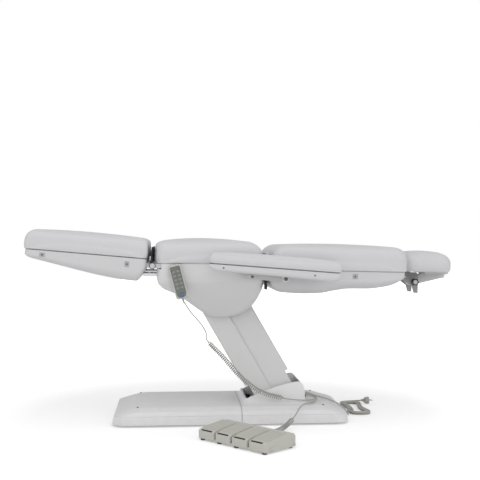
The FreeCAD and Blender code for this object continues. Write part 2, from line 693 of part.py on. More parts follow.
def ears(x, z, y, x_from, x_to, z_top, pinned):
    """Two plates beside an actuator's eye, hung from a level edge above it."""
    plates = []
    for side in (-1, 1):
        y_from = y + side * (EYE_HALF + EAR_GAP)
        y_to = y + side * (EYE_HALF + EAR_GAP + EAR_THICKNESS)
        outline = [(x - EYE_RADIUS, z), (x + EYE_RADIUS, z), (x_to, z_top), (x_from, z_top)]
        plates.append(side_prism(outline, y_from, y_to))
        plates.append(rod_y(x, z, EYE_RADIUS, y_from, y_to))
    if pinned:
        reach = EYE_HALF + EAR_GAP + EAR_THICKNESS
        plates.append(rod_y(x, z, EYE_PIN_RADIUS, y - reach, y + reach))
    return plates


def lift_ends():
    return foot_pins()[0], head_pins()[1]


# Carriage

def carriage():
    (x1, z1), (x2, z2) = head_pins()
    m = CARRIAGE_MARGIN
    outline = [(CARRIAGE_FRONT_X, z1 - m), (CARRIAGE_FRONT_X, z1 + m * 2), (TILT_X - m, TILT_Z + m * 0.8),
               (TILT_X + m, TILT_Z + m * 0.8), (x2 + m, z2 + m / 2), (x2 + m, z2 - m / 2),
               (x2 + m / 2, z2 - m)]
    pieces = []
    for side in (-1, 1):
        pieces.append(side_prism(outline, side * BRACKET_INNER, side * BRACKET_OUTER))
        pieces.append(rod_y(x1, z1, LIFT_PIN_RADIUS, side * (BAR_INNER - SHEET), side * BRACKET_OUTER))
        pieces.append(rod_y(x2, z2, LIFT_PIN_RADIUS, side * (EYE_HALF + EAR_GAP), side * BRACKET_OUTER))
    pieces.append(rod_y(TILT_X, TILT_Z, TILT_PIN_RADIUS, -TILT_EAR_OUTER - SHEET / 2,
                        TILT_EAR_OUTER + SHEET / 2))
    pieces.append(box(TILT_X - CARRIAGE_TIE_HALF, TILT_X + CARRIAGE_TIE_HALF, -BRACKET_OUTER, BRACKET_OUTER,
                      CARRIAGE_TIE_Z, CARRIAGE_TIE_Z + CARRIAGE_TIE_THICKNESS))
    front_web = CARRIAGE_FRONT_X + CARRIAGE_TIE_THICKNESS * 0.8
    pieces.append(box(CARRIAGE_FRONT_X, front_web, -BRACKET_OUTER, BRACKET_OUTER, z1 - m, z1 + m * 2))
    pieces += ears(TILT_TUBE_X, TILT_TUBE_Z, 0, CARRIAGE_FRONT_X, front_web, z1 + m, True)
    return joined(pieces)


# Seat

def shell_level(depth, front, rear, width, wall):
    half = SHELL_HALF_WIDTH * width - wall
    return rounded_rectangle(SHELL_FRONT_X + SHELL_LENGTH * front + wall,
                             SHELL_FRONT_X + SHELL_LENGTH * (1 - rear) - wall, -half, half,
                             SEAT_SEAM_Z - REST_GAP - (SHELL_DEPTH - wall) * depth, SHELL_CORNER - wall)


def leg_ear_spans():
    """Across the chair: the seat's two ears for each leg section."""
    return ((LEG_INNER_EAR, LEG_INNER_EAR + LEG_EAR_WIDTH), (LEG_OUTER_EAR, LEG_OUTER_EAR + LEG_EAR_WIDTH))


def seat_shells():
    outer = Part.makeLoft([shell_level(*level, 0) for level in SHELL_LEVEL_SHARES], True, True)
    inner = Part.makeLoft([shell_level(*level, SHEET) for level in SHELL_LEVEL_SHARES], True, True)
    cuts = [box(SHELL_SLOT_X, SHELL_LENGTH, -SLOT_HALF_WIDTH, SLOT_HALF_WIDTH,
                SEAT_SEAM_Z - SHELL_DEPTH - OVERRUN, SHELL_SLOT_Z)]
    wall_front = SHELL_FRONT_X - OVERRUN
    clear = EYE_HALF + EAR_GAP
    for side in (-1, 1):
        for inner_y, outer_y in leg_ear_spans():
            cuts.append(box(wall_front, SHELL_FRONT_X + SHELL_CORNER, side * (inner_y - SHEET / 2),
                            side * (outer_y + SHEET / 2), LEG_PIN_Z - LEG_EAR_RADIUS * 1.5,
                            SEAT_SEAM_Z + OVERRUN))
        cuts.append(box(wall_front, SHELL_FRONT_X + SHELL_CORNER, side * (LEG_DRIVE_Y - clear),
                        side * (LEG_DRIVE_Y + clear), LEG_DRIVE_Z - SMALL_ROD_RADIUS * 5,
                        LEG_DRIVE_Z + SMALL_ROD_RADIUS * 2.5))
        cuts.append(box(SHELL_FRONT_X + SHELL_LENGTH - SHELL_CORNER, SHELL_LENGTH,
                        side * (SEAT_EAR_INNER - SHEET / 2),
                        side * (SEAT_EAR_INNER + BACK_EAR_WIDTH + SHEET / 2),
                        SEAT_SEAM_Z - CROSS_DEPTH - SHEET, SEAT_SEAM_Z + OVERRUN))
        cuts.append(box(ARMREST_STUB_X - ARMREST_STUB_HALF - REST_GAP,
                        ARMREST_STUB_X + ARMREST_STUB_HALF + REST_GAP,
                        side * RAIL_OUTER, side * (SHELL_HALF_WIDTH + OVERRUN),
                        ARMREST_STUB_Z - REST_GAP, ARMREST_STUB_Z + ARMREST_STUB_HEIGHT + REST_GAP))
    cuts.append(box(SHELL_FRONT_X + SHELL_LENGTH - SHELL_CORNER, SHELL_LENGTH, BACK_DRIVE_Y - clear,
                    BACK_DRIVE_Y + clear, BACK_DRIVE_Z, SEAT_SEAM_Z - SHEET))
    whole = without(outer.cut(inner), cuts)
    far = box(-SHELL_LENGTH, SHELL_LENGTH, REST_GAP / 2, SHELL_LENGTH, 0, SHELL_LENGTH * 2)
    near = box(-SHELL_LENGTH, SHELL_LENGTH, -SHELL_LENGTH, -REST_GAP / 2, 0, SHELL_LENGTH * 2)
    return whole.common(far), whole.common(near)


def cross_places():
    """Along the chair: the seat frame's front and rear cross members."""
    front = SHELL_FRONT_X + SHELL_CORNER + SHEET / 2
    rear = SHELL_FRONT_X + SHELL_LENGTH - SHELL_CORNER - SHEET / 2 - CROSS_WIDTH
    return front, rear


def seat_frame():
    top = SEAT_SEAM_Z - REST_GAP
    cross_front, cross_rear = cross_places()
    cross_half = SHELL_HALF_WIDTH - SHEET - REST_GAP
    pieces = []
    for side in (-1, 1):
        pieces.append(box(cross_front, cross_rear + CROSS_WIDTH, side * RAIL_INNER, side * RAIL_OUTER,
                          top - RAIL_DEPTH, top))
    for x in (cross_front, cross_rear):
        pieces.append(box(x, x + CROSS_WIDTH, -cross_half, cross_half, top - CROSS_DEPTH, top))
    pieces.append(box(TILT_X - TILT_CROSS_HALF, TILT_X + TILT_CROSS_HALF, -RAIL_OUTER, RAIL_OUTER,
                      top - CROSS_DEPTH, top))
    holes = []
    for side in (-1, 1):
        y_from, y_to = side * TILT_EAR_INNER, side * TILT_EAR_OUTER
        pieces.append(box(TILT_X - TILT_CROSS_HALF, TILT_X + TILT_CROSS_HALF, y_from, y_to, TILT_Z,
                          top - SHEET))
        pieces.append(rod_y(TILT_X, TILT_Z, TILT_CROSS_HALF, y_from, y_to))
        holes.append(rod_y(TILT_X, TILT_Z, TILT_PIN_RADIUS + PIN_GAP, y_from - side * SHEET,
                           y_to + side * OVERRUN))
        for inner_y, outer_y in leg_ear_spans():
            y_from, y_to = side * inner_y, side * outer_y
            pieces.append(box(LEG_PIN_X, cross_front + CROSS_WIDTH, y_from, y_to, LEG_PIN_Z - LEG_EAR_RADIUS,
                              LEG_PIN_Z + LEG_EAR_RADIUS - REST_GAP))
            pieces.append(rod_y(LEG_PIN_X, LEG_PIN_Z, LEG_EAR_RADIUS, y_from, y_to))
        inner_pin, outer_pin = leg_ear_spans()
        pieces.append(rod_y(LEG_PIN_X, LEG_PIN_Z, LEG_PIN_RADIUS, side * inner_pin[0],
                            side * (inner_pin[1] + EAR_GAP + LEG_EAR_WIDTH)))
        pieces.append(rod_y(LEG_PIN_X, LEG_PIN_Z, LEG_PIN_RADIUS,
                            side * (outer_pin[0] - EAR_GAP - LEG_EAR_WIDTH),
                            side * outer_pin[1]))
        pieces.append(rod_y(LEG_PIN_X, LEG_PIN_Z, LEG_DISC_RADIUS, side * outer_pin[1],
                            side * (outer_pin[1] + LEG_DISC_THICKNESS)))
        # shelf that carries the leg actuator's tail
        shelf_end = LEG_DRIVE_Y + EYE_HALF + EAR_GAP + EAR_THICKNESS
        pieces.append(box(LEG_DRIVE_X - EYE_RADIUS, LEG_DRIVE_X + EYE_RADIUS, side * RAIL_OUTER,
                          side * shelf_end,
                          top - CROSS_DEPTH, top - CROSS_DEPTH / 2))
        pieces += ears(LEG_DRIVE_X, LEG_DRIVE_Z, side * LEG_DRIVE_Y, LEG_DRIVE_X - EYE_RADIUS,
                       LEG_DRIVE_X + EYE_RADIUS, top - CROSS_DEPTH / 2, True)
        # upright that carries the backrest's hinge tube
        y_from, y_to = side * SEAT_EAR_INNER, side * (SEAT_EAR_INNER + BACK_EAR_WIDTH)
        pieces.append(box(cross_rear, BACK_PIN_X + HINGE_EAR_HALF, y_from, y_to, top - CROSS_DEPTH, top))
        pieces.append(box(BACK_PIN_X - HINGE_EAR_HALF, BACK_PIN_X + HINGE_EAR_HALF, y_from, y_to,
                          top - CROSS_DEPTH, BACK_PIN_Z))
        pieces.append(rod_y(BACK_PIN_X, BACK_PIN_Z, HINGE_EAR_HALF, y_from, y_to))
    tube_end = BACK_EAR_INNER + BACK_EAR_WIDTH + REST_GAP
    pieces.append(rod_y(BACK_PIN_X, BACK_PIN_Z, BACK_TUBE_RADIUS, -tube_end, tube_end))
    pieces += ears(TILT_ROD_X, TILT_ROD_Z, 0, TILT_ROD_X - EYE_RADIUS, TILT_ROD_X + EYE_RADIUS, top - SHEET,
                   False)
    shelf_end = BACK_DRIVE_Y + EYE_HALF + EAR_GAP + EAR_THICKNESS
    pieces.append(box(BACK_DRIVE_X - EYE_RADIUS, BACK_DRIVE_X + EYE_RADIUS, RAIL_OUTER, shelf_end,
                      top - CROSS_DEPTH, top - CROSS_DEPTH / 2))
    pieces += ears(BACK_DRIVE_X, BACK_DRIVE_Z, BACK_DRIVE_Y, BACK_DRIVE_X - EYE_RADIUS,
                   BACK_DRIVE_X + EYE_RADIUS,
                   top - CROSS_DEPTH / 2, True)
    return without(joined(pieces), holes)


def seat_cushion():
    return cushion((SEAT_FRONT_X, SEAT_REAR_X), (-SEAT_HALF_WIDTH, SEAT_HALF_WIDTH), SEAT_SEAM_Z,
                   SEAT_PAD_HEIGHT, SEAT_PAD_CROWN, SEAT_ROLL, (SEAT_ROLL / 2, SEAT_END_ROLL), PAD_CORNER)


# Leg sections, built level along -X from their pins for the +Y side

def on_leg(along, rise):
    return LEG_PIN_X - along, LEG_PIN_Z + rise


def leg_frame(side):
    top = LEG_SEAM_RISE - REST_GAP
    half = LEG_BAR_HALF
    outline = [on_leg(0, -half), on_leg(LEG_BAR_LENGTH, -half), on_leg(LEG_BAR_LENGTH, top),
               on_leg(LEG_TRAY_START * 2, top), on_leg(LEG_TRAY_START * 1.2, half), on_leg(0, half)]
    inner_y = LEG_INNER_EAR + LEG_EAR_WIDTH + EAR_GAP
    outer_y = LEG_OUTER_EAR - EAR_GAP - LEG_EAR_WIDTH
    pieces = []
    holes = []
    for y in (inner_y, outer_y):
        pieces.append(side_prism(outline, y, y + LEG_EAR_WIDTH))
        pieces.append(rod_y(LEG_PIN_X, LEG_PIN_Z, LEG_EAR_RADIUS, y, y + LEG_EAR_WIDTH))
        holes.append(rod_y(LEG_PIN_X, LEG_PIN_Z, LEG_PIN_RADIUS + PIN_GAP, y - EAR_GAP,
                           y + LEG_EAR_WIDTH + EAR_GAP))
    y_from = LEG_SPLIT / 2 + LEG_TRAY_INSET + SHEET + REST_GAP
    y_to = SEAT_HALF_WIDTH - LEG_TRAY_INSET - SHEET - REST_GAP
    first = LEG_LUG_ALONG - LEG_CROSS_WIDTH / 2
    last = LEG_BAR_LENGTH - LEG_CROSS_WIDTH
    for i in range(LEG_CROSSES):
        start = first + (last - first) * i / (LEG_CROSSES - 1)
        x_far, z_low = on_leg(start + LEG_CROSS_WIDTH, top - LEG_CROSS_THICKNESS)
        x_near, z_high = on_leg(start, top)
        pieces.append(box(x_far, x_near, y_from, y_to, z_low, z_high))
    x, z = on_leg(LEG_LUG_ALONG, -LEG_LUG_DROP)
    pieces += ears(x, z, LEG_DRIVE_Y, x - EYE_RADIUS, x + EYE_RADIUS, on_leg(0, top - SHEET)[1], False)
    return mirrored(tilted(without(joined(pieces), holes), LEG_PIN_X, LEG_PIN_Z, LEG_TILT), side)


def leg_tray(side):
    x_near, z_top = on_leg(LEG_TRAY_START, LEG_SEAM_RISE)
    shares = [(-along, down) for along, down in LEG_TRAY_SHARES]
    shell = tray(shares, x_near, LEG_TRAY_LENGTH, z_top - REST_GAP, LEG_TRAY_DEPTH,
                 LEG_SPLIT / 2 + LEG_TRAY_INSET, SEAT_HALF_WIDTH - LEG_TRAY_INSET)
    clear = EYE_HALF + EAR_GAP * 2 + EAR_THICKNESS
    x_far, z_low = on_leg(LEG_LUG_ALONG + EYE_RADIUS, -LEG_TRAY_DEPTH)
    x_end, z_high = on_leg(0, -LEG_LUG_DROP + EYE_RADIUS * 1.5)
    cuts = [box(x_far, x_end, LEG_DRIVE_Y - clear, LEG_DRIVE_Y + clear, z_low, z_high)]
    inner_y = LEG_INNER_EAR + LEG_EAR_WIDTH
    outer_y = LEG_OUTER_EAR - LEG_EAR_WIDTH - EAR_GAP * 2
    for y in (inner_y, outer_y):
        x_wall, z_notch = on_leg(LEG_TRAY_START + SHEET * 2, -LEG_BAR_HALF - EAR_GAP)
        cuts.append(box(x_wall, x_end, y, y + LEG_EAR_WIDTH + EAR_GAP * 2, z_notch, z_top + OVERRUN))
    return mirrored(tilted(without(shell, cuts), LEG_PIN_X, LEG_PIN_Z, LEG_TILT), side)


def leg_cushion(side):
    x_near, z_seam = on_leg(LEG_PAD_START, LEG_SEAM_RISE)
    pad = cushion((x_near - LEG_PAD_LENGTH, x_near), (LEG_SPLIT / 2, SEAT_HALF_WIDTH), z_seam, LEG_PAD_HEIGHT,
                  LEG_PAD_CROWN, SEAT_ROLL * 0.8, (SEAT_ROLL, SEAT_ROLL / 2), PAD_CORNER / 2)
    return mirrored(tilted(pad, LEG_PIN_X, LEG_PIN_Z, LEG_TILT), side)


def turned_point(x, z, pin_x, pin_z, degrees):
    """Where a point of a level piece goes when the piece is tilted about its pin."""
    angle = math.radians(degrees)
    dx, dz = x - pin_x, z - pin_z
    return (pin_x + dx * math.cos(angle) + dz * math.sin(angle),
            pin_z - dx * math.sin(angle) + dz * math.cos(angle))


def leg_ends():
    lug = on_leg(LEG_LUG_ALONG, -LEG_LUG_DROP)
    return (LEG_DRIVE_X, LEG_DRIVE_Z), turned_point(*lug, LEG_PIN_X, LEG_PIN_Z, LEG_TILT)


# Backrest, built level along +X from its hinge tube

def on_back(along, rise):
    return BACK_PIN_X + along, BACK_PIN_Z + rise


def back_tilted(shape):
    return tilted(shape, BACK_PIN_X, BACK_PIN_Z, BACK_TILT)


def back_crosses():
    """Along the backrest: where its frame's cross members start."""
    first = BACK_LUG_ALONG + EYE_RADIUS * 2
    last = HEAD_PLATE_START - BACK_CROSS_WIDTH
    return [first + (last - first) * i / (BACK_CROSSES - 1) for i in range(BACK_CROSSES)]


def back_frame():
    top = -BACK_SEAM_DROP - REST_GAP
    crosses = back_crosses()
    half = SEAT_HALF_WIDTH - BACK_TRAY_INSET - SHEET - REST_GAP
    pieces = []
    for side in (-1, 1):
        x_from, z_low = on_back(crosses[0], top - BACK_RAIL_DEPTH)
        x_to, z_high = on_back(HEAD_PLATE_START, top)
        rail_inner, rail_outer = side * (BACK_RAIL_Y - BACK_RAIL_HALF), side * (BACK_RAIL_Y + BACK_RAIL_HALF)
        pieces.append(box(x_from, x_to, rail_inner, rail_outer, z_low, z_high))
        y_from, y_to = side * BACK_EAR_INNER, side * (BACK_EAR_INNER + BACK_EAR_WIDTH)
        bar_end, bar_low = on_back(crosses[0] + BACK_CROSS_WIDTH, top - CROSS_DEPTH)
        x_ear, z_bar = on_back(-HINGE_EAR_HALF, top)
        pieces.append(box(x_ear, bar_end, y_from, y_to, bar_low, z_bar))
        pieces.append(box(x_ear, x_ear + HINGE_EAR_HALF * 2, y_from, y_to, bar_low, BACK_PIN_Z))
        pieces.append(rod_y(BACK_PIN_X, BACK_PIN_Z, HINGE_EAR_HALF, y_from, y_to))
    for start in crosses:
        x_from, z_low = on_back(start, top - CROSS_DEPTH)
        x_to, z_high = on_back(start + BACK_CROSS_WIDTH, top)
        pieces.append(box(x_from, x_to, -half, half, z_low, z_high))
    lug_x, lug_z = on_back(BACK_LUG_ALONG, -BACK_LUG_DROP)
    x_from, z_high = on_back(crosses[0], top)
    pieces += ears(lug_x, lug_z, BACK_DRIVE_Y, x_from, x_from + BACK_CROSS_WIDTH, z_high, False)
    holes = [rod_y(BACK_PIN_X, BACK_PIN_Z, BACK_TUBE_RADIUS + PIN_GAP, -SHELL_LENGTH, SHELL_LENGTH)]
    return back_tilted(without(joined(pieces), holes))


def back_tray():
    x_start, z_top = on_back(BACK_TRAY_START, -BACK_SEAM_DROP - REST_GAP)
    half = SEAT_HALF_WIDTH - BACK_TRAY_INSET
    shell = tray(BACK_TRAY_SHARES, x_start, BACK_TRAY_LENGTH, z_top, BACK_TRAY_DEPTH, -half, half)
    clear = EYE_HALF + EAR_GAP
    x_from, z_low = on_back(-HINGE_EAR_HALF, -BACK_LUG_DROP - EYE_RADIUS)
    cuts = [box(x_from, x_from + EYE_RADIUS * 4, BACK_DRIVE_Y - clear, BACK_DRIVE_Y + clear, z_low,
                z_top - SHEET)]
    for side in (-1, 1):
        cuts.append(box(x_from, x_from + EYE_RADIUS * 4, side * (BACK_EAR_INNER - EAR_GAP),
                        side * (BACK_EAR_INNER + BACK_EAR_WIDTH + EAR_GAP), z_top - CROSS_DEPTH - EAR_GAP,
                        z_top + OVERRUN))
        x_end = on_back(BACK_TRAY_START + BACK_TRAY_LENGTH, 0)[0]
        cuts.append(box(x_end - SHEET * 2, x_end + OVERRUN, side * (HEAD_PLATE_INNER - EAR_GAP),
                        side * (HEAD_PLATE_INNER + HEAD_PLATE_WIDTH + EAR_GAP), z_top - BACK_TRAY_DEPTH,
                        z_top + OVERRUN))
    return back_tilted(without(shell, cuts))


def back_cushion():
    x_start, z_seam = on_back(BACK_PAD_START, -BACK_SEAM_DROP)
    pad = cushion((x_start, x_start + BACK_PAD_LENGTH), (-SEAT_HALF_WIDTH, SEAT_HALF_WIDTH), z_seam,
                  BACK_PAD_HEIGHT, BACK_PAD_CROWN, SEAT_ROLL, (BACK_END_ROLL, SEAT_ROLL), PAD_CORNER)
    return back_tilted(pad)


def back_ends():
    lug = on_back(BACK_LUG_ALONG, -BACK_LUG_DROP)
    return (BACK_DRIVE_X, BACK_DRIVE_Z), turned_point(*lug, BACK_PIN_X, BACK_PIN_Z, BACK_TILT)


# Headrest

def head_bracket():
    """Two plates behind the backrest, with the clamp's pin through them."""
    top = -BACK_SEAM_DROP - LEG_BAR_HALF + SHEET
    low = top - BACK_RAIL_DEPTH
    pin = -HEAD_PIN_DROP
    lug = HEAD_LUG_WIDTH
    outline = [on_back(HEAD_PLATE_START, top), on_back(HEAD_PIN_ALONG + lug / 2, top),
               on_back(HEAD_PIN_ALONG + lug, top - lug / 2),
               on_back(HEAD_PIN_ALONG + lug, pin - HEAD_LUG_DROP),
               on_back(HEAD_PIN_ALONG, pin - HEAD_LUG_DROP), on_back(HEAD_PIN_ALONG - lug / 2, pin - lug),
               on_back(HEAD_PIN_ALONG - lug * 3, low), on_back(HEAD_PLATE_START, low)]
    pieces = []
    for side in (-1, 1):
        pieces.append(side_prism(outline, side * HEAD_PLATE_INNER,
                                 side * (HEAD_PLATE_INNER + HEAD_PLATE_WIDTH)))
    x, z = on_back(HEAD_PIN_ALONG, pin)
    end = HEAD_PLATE_INNER + HEAD_PLATE_WIDTH
    pieces.append(rod_y(x, z, HEAD_PIN_RADIUS, -end - KNOB_LENGTH * 0.7, end + SHEET))
    return back_tilted(joined(pieces))


def head_pin():
    return on_back(HEAD_PIN_ALONG, -HEAD_PIN_DROP)


def head_knob():
    """A clamp knob with a fluted rim."""
    x, z = head_pin()
    start = -HEAD_PLATE_INNER - HEAD_PLATE_WIDTH - EAR_GAP
    flute = KNOB_RADIUS / 4
    pieces = [rod_y(x, z, KNOB_RADIUS - flute / 2, start, start - KNOB_LENGTH)]
    for i in range(KNOB_LOBES):
        turn = math.radians(360 / KNOB_LOBES * i)
        x_lobe = x + (KNOB_RADIUS - flute) * math.cos(turn)
        z_lobe = z + (KNOB_RADIUS - flute) * math.sin(turn)
        pieces.append(rod_y(x_lobe, z_lobe, flute, start - flute, start - KNOB_LENGTH))
    bore = rod_y(x, z, HEAD_PIN_RADIUS + PIN_GAP, start + OVERRUN, start - KNOB_LENGTH * 0.72)
    return back_tilted(without(joined(pieces), [bore]))


def head_beam():
    x, z = head_pin()
    hub = HEAD_BEAM_HALF * 0.9
    board_low = -BACK_SEAM_DROP - HEAD_BOARD_THICKNESS - REST_GAP * 2
    pin = -HEAD_PIN_DROP
    end = HEAD_PIN_ALONG + HEAD_BEAM_LENGTH
    outline = [on_back(HEAD_PIN_ALONG, pin - hub), on_back(HEAD_PIN_ALONG, pin + hub),
               on_back(HEAD_BOARD_START, board_low - SHEET), on_back(HEAD_BOARD_START + SHEET, board_low),
               on_back(end - SHEET, board_low), on_back(end, board_low - SHEET),
               on_back(end, board_low - HEAD_BEAM_HALF)]
    beam = side_prism(outline, -HEAD_BEAM_HALF, HEAD_BEAM_HALF)
    hub_end = HEAD_PLATE_INNER - EAR_GAP
    tube = rod_y(x, z, hub, -hub_end, hub_end)
    hole = rod_y(x, z, HEAD_PIN_RADIUS + PIN_GAP, -hub_end - OVERRUN, hub_end + OVERRUN)
    return back_tilted(without(joined([beam, tube]), [hole]))


def head_board():
    x_from, z_high = on_back(HEAD_BOARD_START, -BACK_SEAM_DROP - REST_GAP)
    x_to = x_from + HEAD_BOARD_LENGTH
    return back_tilted(box(x_from, x_to, -HEAD_BOARD_HALF, HEAD_BOARD_HALF, z_high - HEAD_BOARD_THICKNESS,
                           z_high))


def head_pillow():
    x_from, z_seam = on_back(PILLOW_START, -BACK_SEAM_DROP)
    pad = cushion((x_from, x_from + PILLOW_LENGTH), (-PILLOW_HALF_WIDTH, PILLOW_HALF_WIDTH), z_seam,
                  PILLOW_HEIGHT, PILLOW_CROWN, PILLOW_ROLL, (PILLOW_ROLL / 2, PILLOW_ROLL), PAD_CORNER)
    return back_tilted(pad)


# Armrests, built level for the +Y side with their pin line as zero height

def on_armrest(along, rise):
    return ARMREST_PIN_X + along, ARMREST_PIN_Z + rise


def armrest_tilted(shape, side):
    return mirrored(tilted(shape, ARMREST_PIN_X, ARMREST_PIN_Z, ARMREST_TILT), side)


def stop_height():
    """Height of the front rest's pin, just under the tilted tray."""
    along = ARMREST_STOP_X - ARMREST_PIN_X
    share = (along - ARMREST_TRAY_START) / ARMREST_TRAY_LENGTH
    low, high = ARMREST_TRAY_SHARES[3], ARMREST_TRAY_SHARES[4]
    down = low[1] + (high[1] - low[1]) * (share - low[0]) / (high[0] - low[0])
    under = ARMREST_SEAM_RISE - REST_GAP - ARMREST_TRAY_DEPTH * down
    angle = math.radians(ARMREST_TILT)
    underside = ARMREST_PIN_Z - along * math.tan(angle) + under / math.cos(angle)
    return underside - ARMREST_STOP_RADIUS - REST_GAP * 2


def armrest_bracket(side):
    half = ARMREST_PLATE_HALF
    top = ARMREST_PLATE_TOP_Z
    front = ARMREST_STUB_X - ARMREST_STUB_HALF
    outline = [(front, top), (front, ARMREST_STUB_Z - half / 2),
               (ARMREST_STOP_X - half * 2, stop_height() - half),
               (ARMREST_PIN_X - half, ARMREST_PIN_Z - half), (ARMREST_PIN_X + half, ARMREST_PIN_Z - half),
               (ARMREST_PIN_X + half, ARMREST_PIN_Z + half),
               (ARMREST_STOP_X + half * 2, stop_height() + half),
               (ARMREST_STUB_X + ARMREST_STUB_HALF, top)]
    plate_end = BRACKET_PLATE_INNER + BRACKET_PLATE_WIDTH
    tray_from = ARMREST_INNER + ARMREST_TRAY_INSET
    pieces = [side_prism(outline, BRACKET_PLATE_INNER, plate_end)]
    pieces.append(box(front, ARMREST_STUB_X + ARMREST_STUB_HALF, RAIL_OUTER, plate_end - SHEET / 2,
                      ARMREST_STUB_Z, ARMREST_STUB_Z + ARMREST_STUB_HEIGHT))
    pieces.append(rod_y(ARMREST_PIN_X, ARMREST_PIN_Z, ARMREST_PIN_RADIUS, BRACKET_PLATE_INNER,
                        ARMREST_EAR_INNER + ARMREST_EAR_WIDTH + SHEET / 2))
    pieces.append(rod_y(ARMREST_STOP_X, stop_height(), ARMREST_STOP_RADIUS, BRACKET_PLATE_INNER,
                        tray_from + ARMREST_WIDTH / 3))
    return mirrored(joined(pieces), side)


def armrest_tray(side):
    x_start, z_top = on_armrest(ARMREST_TRAY_START, ARMREST_SEAM_RISE - REST_GAP)
    shell = tray(ARMREST_TRAY_SHARES, x_start, ARMREST_TRAY_LENGTH, z_top, ARMREST_TRAY_DEPTH,
                 ARMREST_INNER + ARMREST_TRAY_INSET, ARMREST_INNER + ARMREST_WIDTH - ARMREST_TRAY_INSET)
    half = ARMREST_EAR_HALF
    ear_from, ear_to = ARMREST_EAR_INNER, ARMREST_EAR_INNER + ARMREST_EAR_WIDTH
    ear = box(ARMREST_PIN_X - half, ARMREST_PIN_X + half, ear_from, ear_to, ARMREST_PIN_Z, z_top)
    knuckle = rod_y(ARMREST_PIN_X, ARMREST_PIN_Z, half, ear_from, ear_to)
    hole = rod_y(ARMREST_PIN_X, ARMREST_PIN_Z, ARMREST_PIN_RADIUS + PIN_GAP, ear_from - SHEET, ear_to + SHEET)
    return armrest_tilted(without(joined([shell, ear, knuckle]), [hole]), side)


def armrest_pad(side):
    x_start, z_seam = on_armrest(ARMREST_PAD_START, ARMREST_SEAM_RISE)
    pad = cushion((x_start, x_start + ARMREST_PAD_LENGTH), (ARMREST_INNER, ARMREST_INNER + ARMREST_WIDTH),
                  z_seam, ARMREST_PAD_HEIGHT, ARMREST_PAD_CROWN, ARMREST_ROLL, (ARMREST_ROLL, ARMREST_ROLL),
                  PAD_CORNER / 2)
    return armrest_tilted(pad, side)


# Hand control, built lying on its back with its top edge on the X axis, then hung on the shell

def hang_up(shape):
    hung = shape.copy()
    hung.rotate(Vector(0, 0, 0), Vector(1, 0, 0), 90)
    hung.rotate(Vector(0, 0, 0), Y_AXIS, HAND_TILT)
    hung.translate(Vector(HAND_TOP_X, HAND_THICKNESS - HAND_FACE_Y, HAND_TOP_Z))
    return hung


def hand_shell():
    edge = HAND_CORNER / 12
    sections = []
    for rise, inset in HAND_LEVEL_SHARES:
        draw = HAND_CORNER * inset
        sections.append(rounded_rectangle(-HAND_WIDTH / 2 + draw, HAND_WIDTH / 2 - draw, -HAND_LENGTH + draw,
                                          -draw, HAND_THICKNESS * rise, HAND_CORNER))
    body = Part.makeLoft(sections, True, True)
    hook_depth = HAND_FACE_Y - HAND_THICKNESS - SHELL_HALF_WIDTH - REST_GAP
    hook = box(-HOOK_WIDTH / 2, HOOK_WIDTH / 2, -HOOK_ALONG - HOOK_HEIGHT, -HOOK_ALONG, -hook_depth, edge)
    gland = Part.makeCylinder(HAND_GLAND_RADIUS, HAND_GLAND_LENGTH + edge * 2,
                              Vector(0, -HAND_LENGTH + edge * 2, HAND_THICKNESS / 2), Vector(0, -1, 0))
    pocket = Part.makeCylinder(STOP_KEY_RADIUS + REST_GAP, STOP_KEY_DEPTH * 2,
                               Vector(0, -STOP_KEY_ALONG, HAND_THICKNESS - STOP_KEY_DEPTH * 2 + edge * 5))
    pocket.translate(Vector(0, 0, -STOP_KEY_RISE))
    return hang_up(without(joined([body, hook, gland]), [pocket]))


def hand_keypad():
    y_from = -KEYPAD_TOP - KEYPAD_LENGTH
    outline = rounded_rectangle(-KEYPAD_WIDTH / 2, KEYPAD_WIDTH / 2, y_from, -KEYPAD_TOP, HAND_THICKNESS,
                                HAND_CORNER / 2)
    pieces = [Part.Face(outline).extrude(Vector(0, 0, KEYPAD_RISE))]
    for row in range(KEY_ROWS):
        for column in range(KEY_COLUMNS):
            x = (column - (KEY_COLUMNS - 1) / 2) * KEY_PITCH
            y = -KEYPAD_TOP - KEYPAD_LENGTH * (row + 1) / (KEY_ROWS + 1)
            pieces.append(Part.makeCylinder(KEY_RADIUS, KEYPAD_RISE + KEY_RISE, Vector(x, y, HAND_THICKNESS)))
    return hang_up(joined(pieces))


def stop_key():
    key = Part.makeCylinder(STOP_KEY_RADIUS, STOP_KEY_DEPTH + STOP_KEY_RISE,
                            Vector(0, -STOP_KEY_ALONG, HAND_THICKNESS - STOP_KEY_DEPTH))
    return hang_up(key)


def hand_gland_end():
    """Where the hand control's cord leaves its strain relief, and which way."""
    angle = math.radians(HAND_TILT)
    length = HAND_LENGTH + HAND_GLAND_LENGTH
    direction = Vector(-math.sin(angle), 0, -math.cos(angle))
    start = Vector(HAND_TOP_X, HAND_THICKNESS / 2 - HAND_FACE_Y, HAND_TOP_Z)
    return start.add(direction * length), direction


# Foot control, built square with its front towards -Y, then turned beside the base

def foot_placed(shape):
    placed = shape.copy()
    placed.rotate(Vector(0, 0, 0), Z_AXIS, FOOT_BOX_TURN)
    placed.translate(Vector(FOOT_BOX_X, FOOT_BOX_Y, 0))
    return placed


def across_prism(points, x_from, x_to):
    """An outline of y and z points, extruded along X."""
    corners = [Vector(x_from, y, z) for y, z in points]
    return Part.Face(Part.makePolygon(corners + corners[:1])).extrude(Vector(x_to - x_from, 0, 0))


def pedal_hinge_y():
    return FOOT_BOX_DEPTH / 2 - PEDAL_PIN_BACK


